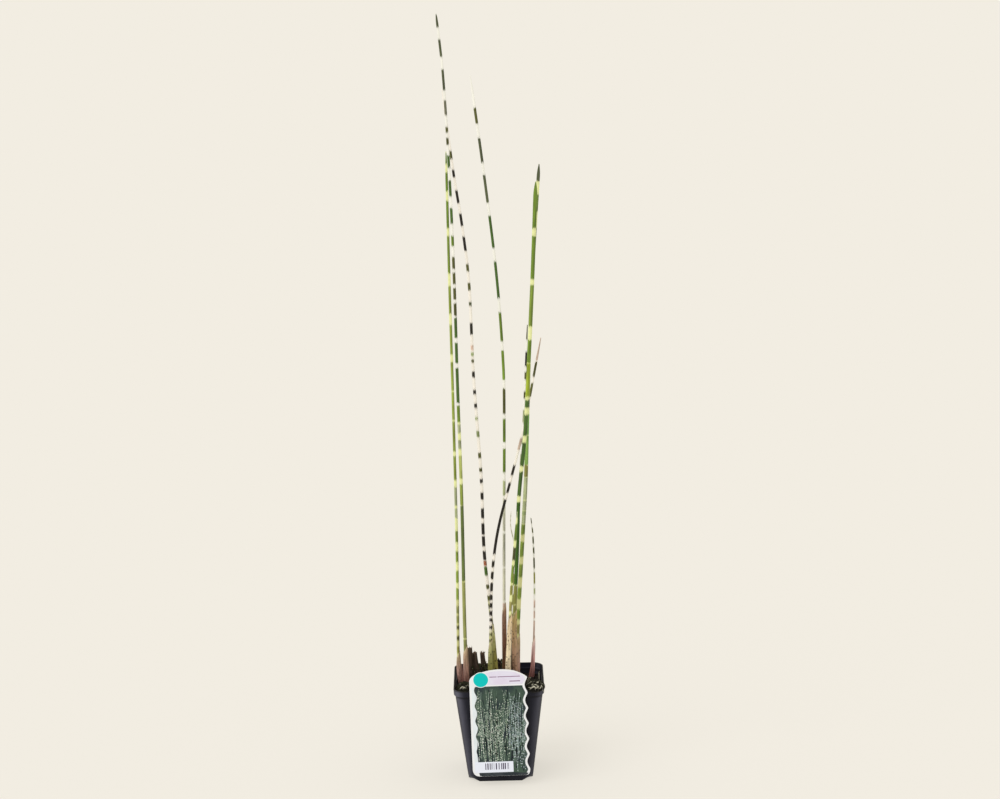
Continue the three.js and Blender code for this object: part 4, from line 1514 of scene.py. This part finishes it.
def model_moss(moss, settings, seed):
    """A cushion of moss: a lumpy dome covered in shoots, with pale leaves curled over it."""
    draw = random.Random(seed)
    dark, light = tuple(settings.dark), tuple(settings.light)
    clay = Clay()
    core = lump(moss.centre, [r * 0.93 for r in moss.radii], 5, 0.12, seed)
    for point in core[0]:
        point += Vector((0, 0, 0.5 * field.noise(point * 0.5)))
        clear_of_label(point)
    clay.add(core, pigment=dark)
    for _ in range(moss.shoots):
        turn, climb = draw.uniform(0, 2 * math.pi), draw.uniform(-0.1, 1)
        place, out = on_dome(moss, turn, climb)
        clear_of_label(place)
        tilt = Vector([draw.gauss(0, 0.35) for _ in range(3)])
        share = draw.random() ** 2 * smooth(-0.1, 0.5, climb)
        colour = blend_colours(dark, light, share)
        up = (out + tilt + Vector((0, 0, 0.4))).normalized()
        model_shoot(clay, place - out * 0.5, up, draw.uniform(1.0, 2.1), colour, dark, draw)
    for x, y, heading, length, bend, width in moss.curls:
        model_curl(clay, moss, (x, y), heading, length, bend, width, settings, draw)
    for _ in range(moss.strands):
        spot = [moss.centre[i] + moss.radii[i] * draw.uniform(-0.75, 0.75) for i in (0, 1)]
        heading, length = draw.uniform(0, 360), draw.uniform(4, 9)
        bend = draw.choice((-1, 1)) * draw.uniform(60, 200)
        model_curl(clay, moss, spot, heading, length, bend, draw.uniform(0.35, 0.7), settings, draw)
    return clay


def dome_top(moss, x, y):
    """The height of a cushion's upper side at a place."""
    off = sum(((place - moss.centre[i]) / moss.radii[i]) ** 2 for i, place in enumerate((x, y)))
    return moss.centre[2] + moss.radii[2] * math.sqrt(max(1 - off, 0)) - max(off - 1, 0) * 6


def model_curl(clay, moss, spot, heading, length, bend, width, settings, draw):
    """A pale leaf or strand that lies curled on a cushion."""
    steps, sides = 12, 7
    x, y = spot
    path = []
    for i in range(steps + 1):
        share = i / steps
        lift = 0.5 + 0.5 * width * math.sin(math.pi * share)
        path.append(clear_of_label(Vector((x, y, dome_top(moss, x, y) + lift))))
        direction = math.radians(heading + bend * share)
        x += math.cos(direction) * length / steps
        y += math.sin(direction) * length / steps
    radii = [width / 2 * (0.2 + 0.8 * math.sin(math.pi * (0.06 + 0.88 * i / steps)))
             for i in range(steps + 1)]
    shade = draw.uniform(0.75, 1.1) if width > 0.7 else draw.uniform(0.3, 0.8)
    tints = []
    for i in range(steps + 1):
        part = shade * (0.55 + 0.45 * math.sin(math.pi * i / steps))
        tints.extend([toned(settings.strand, part)] * sides)
    clay.add(tube(path, radii, sides), pigment=tints)


class ZEBRARUSH_OT_moss(bpy.types.Operator):
    """Make the moss cushions"""

    bl_idname = "zebra_rush.moss"
    bl_label = "Make Moss"

    def execute(self, context):
        settings = context.scene.zebra_rush.moss
        finish = moss_finish()
        for seed, moss in enumerate(MOSSES):
            clay = model_moss(moss, settings, seed + 40)
            make_piece(clay, "tufted_" + moss.name, finish, [moss.name])
        return {"FINISHED"}


class ZEBRARUSH_OT_perlite(bpy.types.Operator):
    """Make the loose grains of perlite"""

    bl_idname = "zebra_rush.perlite"
    bl_label = "Make Perlite"

    def execute(self, context):
        finish = perlite_finish()
        for number, (x, y, radius) in enumerate(GRAINS, start=1):
            centre = (x, y, peat_height(x, y) + 0.7 * radius + 0.3)
            clay = Clay()
            clay.add(lump(centre, (radius, radius * 0.9, radius * 0.8), 3, 0.35, number))
            node = f"perlite_grain_{number}"
            make_piece(clay, "pitted_" + node, finish, [node])
        return {"FINISHED"}


def quadratic(start, control, end, steps=14):
    """Points along a quadratic curve, after its start."""
    points = []
    for i in range(1, steps + 1):
        t = i / steps
        points.append(tuple(
            a * (1 - t) ** 2 + b * 2 * t * (1 - t) + c * t ** 2
            for a, b, c in zip(start, control, end)
        ))
    return points


def scalloped_edge(w):
    """How far right the label reaches at a height."""
    turn = (w - FIRST_CREST) / SCALLOP_PITCH
    return LABEL_WIDTH - SCALLOP_DEPTH * abs(math.sin(math.pi * turn)) ** SCALLOP_SHARPNESS


def label_top():
    """The label's arched top, from its right shoulder to its left one."""
    shoulder = FIRST_CREST + SCALLOPS * SCALLOP_PITCH
    points = quadratic((LABEL_WIDTH, shoulder), (54, 105), CROWN_RIGHT)
    points += quadratic(CROWN_RIGHT, (28.5, 112.5), CROWN_LEFT, 24)
    points += quadratic(CROWN_LEFT, (1, 104.5), (0, SHOULDER_HEIGHT))
    return points


def label_outline():
    """The label's outline, anticlockwise from its rounded lower left corner."""
    outline = [(0, 8)] + quadratic((0, 8), (0, 0), (8, 0)) + [(53, 0)]
    outline += quadratic((53, 0), (56.5, 0), (57, 6), 6)
    steps = 16 * SCALLOPS
    for i in range(1, steps + 1):
        w = FIRST_CREST + SCALLOP_PITCH * SCALLOPS * i / steps
        outline.append((scalloped_edge(w), w))
    return outline + label_top()


def on_label(u, w):
    """A place on the label as x and z."""
    across = u - LABEL_WIDTH / 2
    x = across * math.cos(LABEL_LEAN) - w * math.sin(LABEL_LEAN) + LABEL_FOOT[0]
    z = across * math.sin(LABEL_LEAN) + w * math.cos(LABEL_LEAN) + LABEL_FOOT[1]
    return x, z


def shrunk(outline, inset):
    """An outline moved inwards by a small distance."""
    moved = []
    for i, (u, w) in enumerate(outline):
        before, after = outline[i - 1], outline[(i + 1) % len(outline)]
        along = Vector((after[0] - before[0], after[1] - before[1])).normalized()
        moved.append((u - along.y * inset, w + along.x * inset))
    return moved


def model_label_sheet():
    """The label's sheet with softly rounded edges."""
    outline = label_outline()
    steps = (
        (SHEET_EDGE, LABEL_BACK), (0.0, LABEL_BACK - SHEET_EDGE),
        (0.0, LABEL_FRONT + SHEET_EDGE), (SHEET_EDGE, LABEL_FRONT),
    )
    rings = []
    for inset, y in steps:
        spots = [on_label(u, w) for u, w in shrunk(outline, inset)]
        rings.append([Vector((x, y, z)) for x, z in spots])
    clay = Clay()
    clay.add(loft(rings))
    return clay


def printed(name, shapes, layer, finish):
    """Ink on the label's front: flat shapes a few hundredths of a millimetre proud of the sheet."""
    front = LABEL_FRONT - INK_LAYER * layer
    clay = Clay()
    for shape in shapes:
        clay.add(prism([on_label(u, w) for u, w in shape], LABEL_FRONT + 0.01, front))
    return make_piece(clay, name, finish, flat=True)


def rectangle(left, right, low, high):
    """A rectangle's corners, anticlockwise."""
    return [(left, low), (right, low), (right, high), (left, high)]


def disc(centre, radius):
    """Points round a circle."""
    u, w = centre
    return [(u + radius * math.cos(t), w + radius * math.sin(t)) for t in turns_round(72)]


def picture_left(w):
    """The picture's wavy left edge."""
    return 5.7 + 1.25 * math.cos(2 * math.pi * (w - 2) / SCALLOP_PITCH)


def picture_right(w):
    """The picture's right edge, just inside the scallops."""
    return scalloped_edge(w) - 2.2


def header_shape():
    """The tinted panel under the arched top."""
    arch = sorted((u, w) for u, w in label_top())
    us, ws = [p[0] for p in arch], [p[1] for p in arch]
    left, right, below_arch = 9.5, 54.2, 1.5
    shape = [(left, HEADER_FOOT), (picture_right(HEADER_FOOT), HEADER_FOOT), (55.0, SHOULDER_HEIGHT)]
    steps = 23
    for i in range(steps + 1):
        u = blend(right, left, i / steps)
        shape.append((u, float(np.interp(u, us, ws)) - below_arch))
    return shape


def even_steps(low, high, steps):
    """Values from low to high, both of them included."""
    return [blend(low, high, i / steps) for i in range(steps + 1)]


def picture_shape(low, high):
    """The picture's ground between its two wavy edges."""
    rising = even_steps(low, high, 120)
    return [(picture_right(w), w) for w in rising] + [(picture_left(w), w) for w in rising[::-1]]


def margin_shape(low, high):
    """The pale strip between the label's left edge and its picture."""
    left, gap = 2.1, 0.25
    shape = [(picture_left(w) - gap, w) for w in even_steps(low, high, 60)]
    return shape + [(left, high), (left, low)]


def held_in_picture(u, w):
    """A place across the label, moved into the picture where it lies beside it."""
    rim = 0.5
    return min(max(u, picture_left(w) + rim), picture_right(w) - rim)


class Reed:
    """A pictured reed: a narrow blade that leans and bows a little."""

    def __init__(self, draw, lows, highs, width):
        self.low, self.high = draw.uniform(*lows), draw.uniform(*highs)
        self.foot = draw.uniform(6, 53)
        self.lean = draw.gauss(0, 3) + (self.foot - 30) * 0.14
        self.bow = draw.gauss(0, 1.5)
        self.width = width * draw.uniform(0.6, 1.3)

    def sides(self, w):
        """The reed's left and right edge at a height."""
        t = (w - self.low) / (self.high - self.low)
        u = self.foot + self.lean * t + self.bow * math.sin(math.pi * t)
        half = self.width * (1 - 0.4 * t) / 2
        return held_in_picture(u - half, w), held_in_picture(u + half, w) + 0.02

    def stretch(self, low, high, steps=1):
        """The outline of a stretch of the reed."""
        heights = even_steps(low, high, steps)
        return [(self.sides(w)[1], w) for w in heights] + [(self.sides(w)[0], w) for w in heights[::-1]]

    def bands(self, draw):
        """Short pale bands along the reed, fewer towards its top."""
        shapes = []
        w = self.low + draw.uniform(0.5, 2)
        while w < self.high - 2:
            tall = draw.uniform(0.5, 1.2)
            if draw.random() < 0.7:
                shapes.append(self.stretch(w, w + tall))
            w += tall + draw.uniform(0.9, 2.6)
        return shapes


def bars(draw, left, right, low, high):
    """Upright bars of uneven width and spacing, which stand for no number."""
    shapes = []
    u = left
    while u < right:
        width = draw.choice((0.35, 0.5, 0.9, 1.2))
        shapes.append(rectangle(u, u + width, low, high))
        u += width + draw.choice((0.45, 0.7, 1.1, 1.6))
    return shapes


def print_picture(settings, draw):
    """A generic bed of banded reeds over a mottled ground."""
    ground = ink_finish("ink_reed_ground", settings.ground_dark, settings.ground_green, 0.045, 0.3)
    printed("label_picture_ground", [picture_shape(*PICTURE_SPAN)], 1, ground)
    layers = (
        ("dark", "#1b252b", 2, 40, 1.2, (3.4, 45), (50, 92)),
        ("middle", "#51665a", 3, 80, 0.85, (3.4, 55), (45, 92)),
        ("pale", "#788c82", 4, 60, 0.7, (3.4, 65), (45, 92.5)),
    )
    reeds = []
    for name, hex_colour, layer, count, width, lows, highs in layers:
        made = [Reed(draw, lows, highs, width) for _ in range(count)]
        made = [reed for reed in made if reed.high > reed.low + 8]
        blades = [reed.stretch(reed.low, reed.high, 6) for reed in made]
        finish = ink_finish("ink_reed_" + name, linear(hex_colour), spread=0.25)
        printed("label_picture_" + name, blades, layer, finish)
        reeds += made if name != "dark" else []
    for name, hex_colours, chosen in (
        ("warm", ("#e3ebe2", "#92a892"), [reed for reed in reeds if reed.foot < 36]),
        ("cool", ("#d6e2e8", "#869aa4"), [reed for reed in reeds if reed.foot >= 36]),
    ):
        shapes = [shape for reed in chosen for shape in reed.bands(draw)]
        finish = ink_finish("ink_band_" + name, *[linear(c) for c in hex_colours], 0.4)
        printed("label_picture_bands_" + name, shapes, 5, finish)


def print_heading(settings):
    """A tinted panel, a plain disc and two plain rules."""
    header = ink_finish("ink_header", settings.header, linear("#e2e0f4"), 0.06, 0.02)
    printed("label_header", [header_shape()], 1, header)
    halo = ink_finish("ink_halo", settings.plastic)
    printed("label_halo", [disc(DISC_CENTRE, HALO_RADIUS)], 2, halo)
    mark = ink_finish("ink_disc", settings.disc, spread=0.03)
    printed("label_disc", [disc(DISC_CENTRE, DISC_RADIUS)], 3, mark)
    rules = [rectangle(*rule) for rule in RULES]
    printed("label_rules", rules, 2, ink_finish("ink_rules", settings.rule))


def print_foot(draw):
    """The strip along the foot, and a white box of plain bars."""
    slate = ink_finish("ink_foot", linear("#3b4147"), linear("#2a3138"))
    printed("label_foot_strip", [FOOT_STRIP], 2, slate)
    white = ink_finish("ink_box", linear("#e7edfe"), spread=0.02)
    printed("label_bar_box", [rectangle(*BAR_BOX)], 6, white)
    shapes = bars(draw, *BARS)
    printed("label_bars", shapes, 7, ink_finish("ink_bars", linear("#514a62"), spread=0.1))


class ZEBRARUSH_OT_label(bpy.types.Operator):
    """Make the plant label and the plain printing on it"""

    bl_idname = "zebra_rush.label"
    bl_label = "Make Label"

    def execute(self, context):
        settings = context.scene.zebra_rush.label
        draw = random.Random(5)
        finish = plastic_finish("label_plastic", settings.plastic, 0.3)
        make_piece(model_label_sheet(), "scalloped_label", finish, ["label_sheet"], flat=True)
        margin = ink_finish("ink_margin", linear("#dde6ee"), linear("#e4edf6"), 0.08, 0.02)
        printed("label_margin", [margin_shape(*MARGIN_SPAN)], 1, margin)
        print_picture(settings, draw)
        print_heading(settings)
        print_foot(draw)
        return {"FINISHED"}


class ZEBRARUSH_OT_strap(bpy.types.Operator):
    """Make the strap that hooks the label over the rim"""

    bl_idname = "zebra_rush.strap"
    bl_label = "Make Strap"

    def execute(self, context):
        settings = context.scene.zebra_rush.label
        clay = Clay()
        clay.add(loft([[Vector((x, y, z)) for y, z in STRAP_SECTION] for x in STRAP_SPAN]))
        finish = plastic_finish("strap_plastic", settings.plastic, 0.38)
        piece = make_piece(clay, "bent_label_strap", finish, ["label_strap"], flat=True)
        bevel = piece.modifiers.new("soft edges", "BEVEL")
        bevel.width = 0.22 * MM
        bevel.segments = 3
        bevel.harden_normals = False
        apply_modifiers(piece)
        return {"FINISHED"}


def add_floor(stage):
    """A plain pale floor that reaches past every view."""
    reach = 40000
    corners = [(-reach, -reach, 0), (reach, -reach, 0), (reach, reach, 0), (-reach, reach, 0)]
    mesh = new_mesh("pale_floor", corners, [(0, 1, 2, 3)])
    finish = Finish("pale_floor", roughness=0.95, specular=0.0)
    finish.shader.inputs["Emission Color"].default_value = tuple(stage.backdrop)
    finish.shader.inputs["Emission Strength"].default_value = stage.glow
    dimmed = [part * (1 - stage.glow) for part in stage.floor[:3]]
    mesh.materials.append(finish.done((*dimmed, 1.0)))
    floor = add_to_scene("pale_floor", mesh)


def add_sun(name, turn, height, strength, angle, colour):
    """Even, soft light from a direction: degrees round from the front, and degrees up."""
    data = bpy.data.lights.new(name, "SUN")
    data.energy = strength
    data.angle = math.radians(angle)
    data.color = colour
    lamp = add_to_scene(name, data)
    azimuth, rise = math.radians(turn), math.radians(height)
    source = Vector((
        math.sin(azimuth) * math.cos(rise), -math.cos(azimuth) * math.cos(rise), math.sin(rise),
    ))
    lamp.rotation_mode = "QUATERNION"
    lamp.rotation_quaternion = source.to_track_quat("Z", "Y")


def add_camera(stage):
    """The camera at the photograph's viewing angle."""
    data = bpy.data.cameras.new("camera")
    data.sensor_width = 36
    data.lens = stage.lens
    camera = add_to_scene("camera", data)
    ahead = Vector((0, math.cos(stage.pitch), -math.sin(stage.pitch)))
    right = Vector((1, 0, 0))
    up = right.cross(ahead)
    turned_right = right * math.cos(stage.roll) + up * math.sin(stage.roll)
    turned_up = up * math.cos(stage.roll) - right * math.sin(stage.roll)
    turn = Matrix((turned_right, turned_up, -ahead)).transposed().to_4x4()
    place = Matrix.Translation((stage.offset, -stage.distance, stage.height))
    camera.matrix_world = place @ turn
    bpy.context.scene.camera = camera


class ZEBRARUSH_OT_stage(bpy.types.Operator):
    """Make the floor, the light and the camera"""

    bl_idname = "zebra_rush.stage"
    bl_label = "Make Stage"

    def execute(self, context):
        stage = context.scene.zebra_rush.stage
        world = bpy.data.worlds.new("pale_surroundings")
        context.scene.world = world
        world.use_nodes = True
        back = world.node_tree.nodes["Background"]
        back.inputs["Color"].default_value = tuple(stage.backdrop)
        back.inputs["Strength"].default_value = 1.0
        add_floor(stage)
        add_sun("key_light", turn=-48, height=45, strength=0.95, angle=40, colour=(1.0, 0.99, 0.97))
        add_camera(stage)
        context.scene.view_settings.view_transform = "Standard"
        return {"FINISHED"}


BUILD_ORDER = (
    "stage", "pot", "peat", "culms", "sheaths", "stubs", "moss", "perlite", "label", "strap",
)


class ZEBRARUSH_PT_panel(bpy.types.Panel):
    """The pieces of the potted zebra rush and the sizes and colours that shape them"""

    bl_idname = "ZEBRARUSH_PT_panel"
    bl_label = "Potted Zebra Rush"
    bl_space_type = "VIEW_3D"
    bl_region_type = "UI"
    bl_category = "Zebra Rush"

    def draw(self, context):
        rush = context.scene.zebra_rush
        for name in BUILD_ORDER:
            self.layout.operator("zebra_rush." + name)
        for group in (rush.pot, rush.peat, rush.culm, rush.sheath, rush.moss, rush.label, rush.stage):
            box = self.layout.box()
            for prop in group.bl_rna.properties:
                if prop.identifier not in ("rna_type", "name"):
                    box.prop(group, prop.identifier)


CLASSES = (
    PotSettings, PeatSettings, CulmSettings, SheathSettings, MossSettings, LabelSettings,
    StageSettings, ZebraRushSettings, ZEBRARUSH_OT_pot, ZEBRARUSH_OT_peat, ZEBRARUSH_OT_culms,
    ZEBRARUSH_OT_sheaths, ZEBRARUSH_OT_stubs, ZEBRARUSH_OT_moss, ZEBRARUSH_OT_perlite,
    ZEBRARUSH_OT_label, ZEBRARUSH_OT_strap, ZEBRARUSH_OT_stage, ZEBRARUSH_PT_panel,
)


def register():
    for cls in CLASSES:
        bpy.utils.register_class(cls)
    bpy.types.Scene.zebra_rush = PointerProperty(type=ZebraRushSettings)


def unregister():
    del bpy.types.Scene.zebra_rush
    for cls in reversed(CLASSES):
        bpy.utils.unregister_class(cls)


def main():
    register()
    for name in BUILD_ORDER:
        getattr(bpy.ops.zebra_rush, name)()


if __name__ == "__main__":
    main()
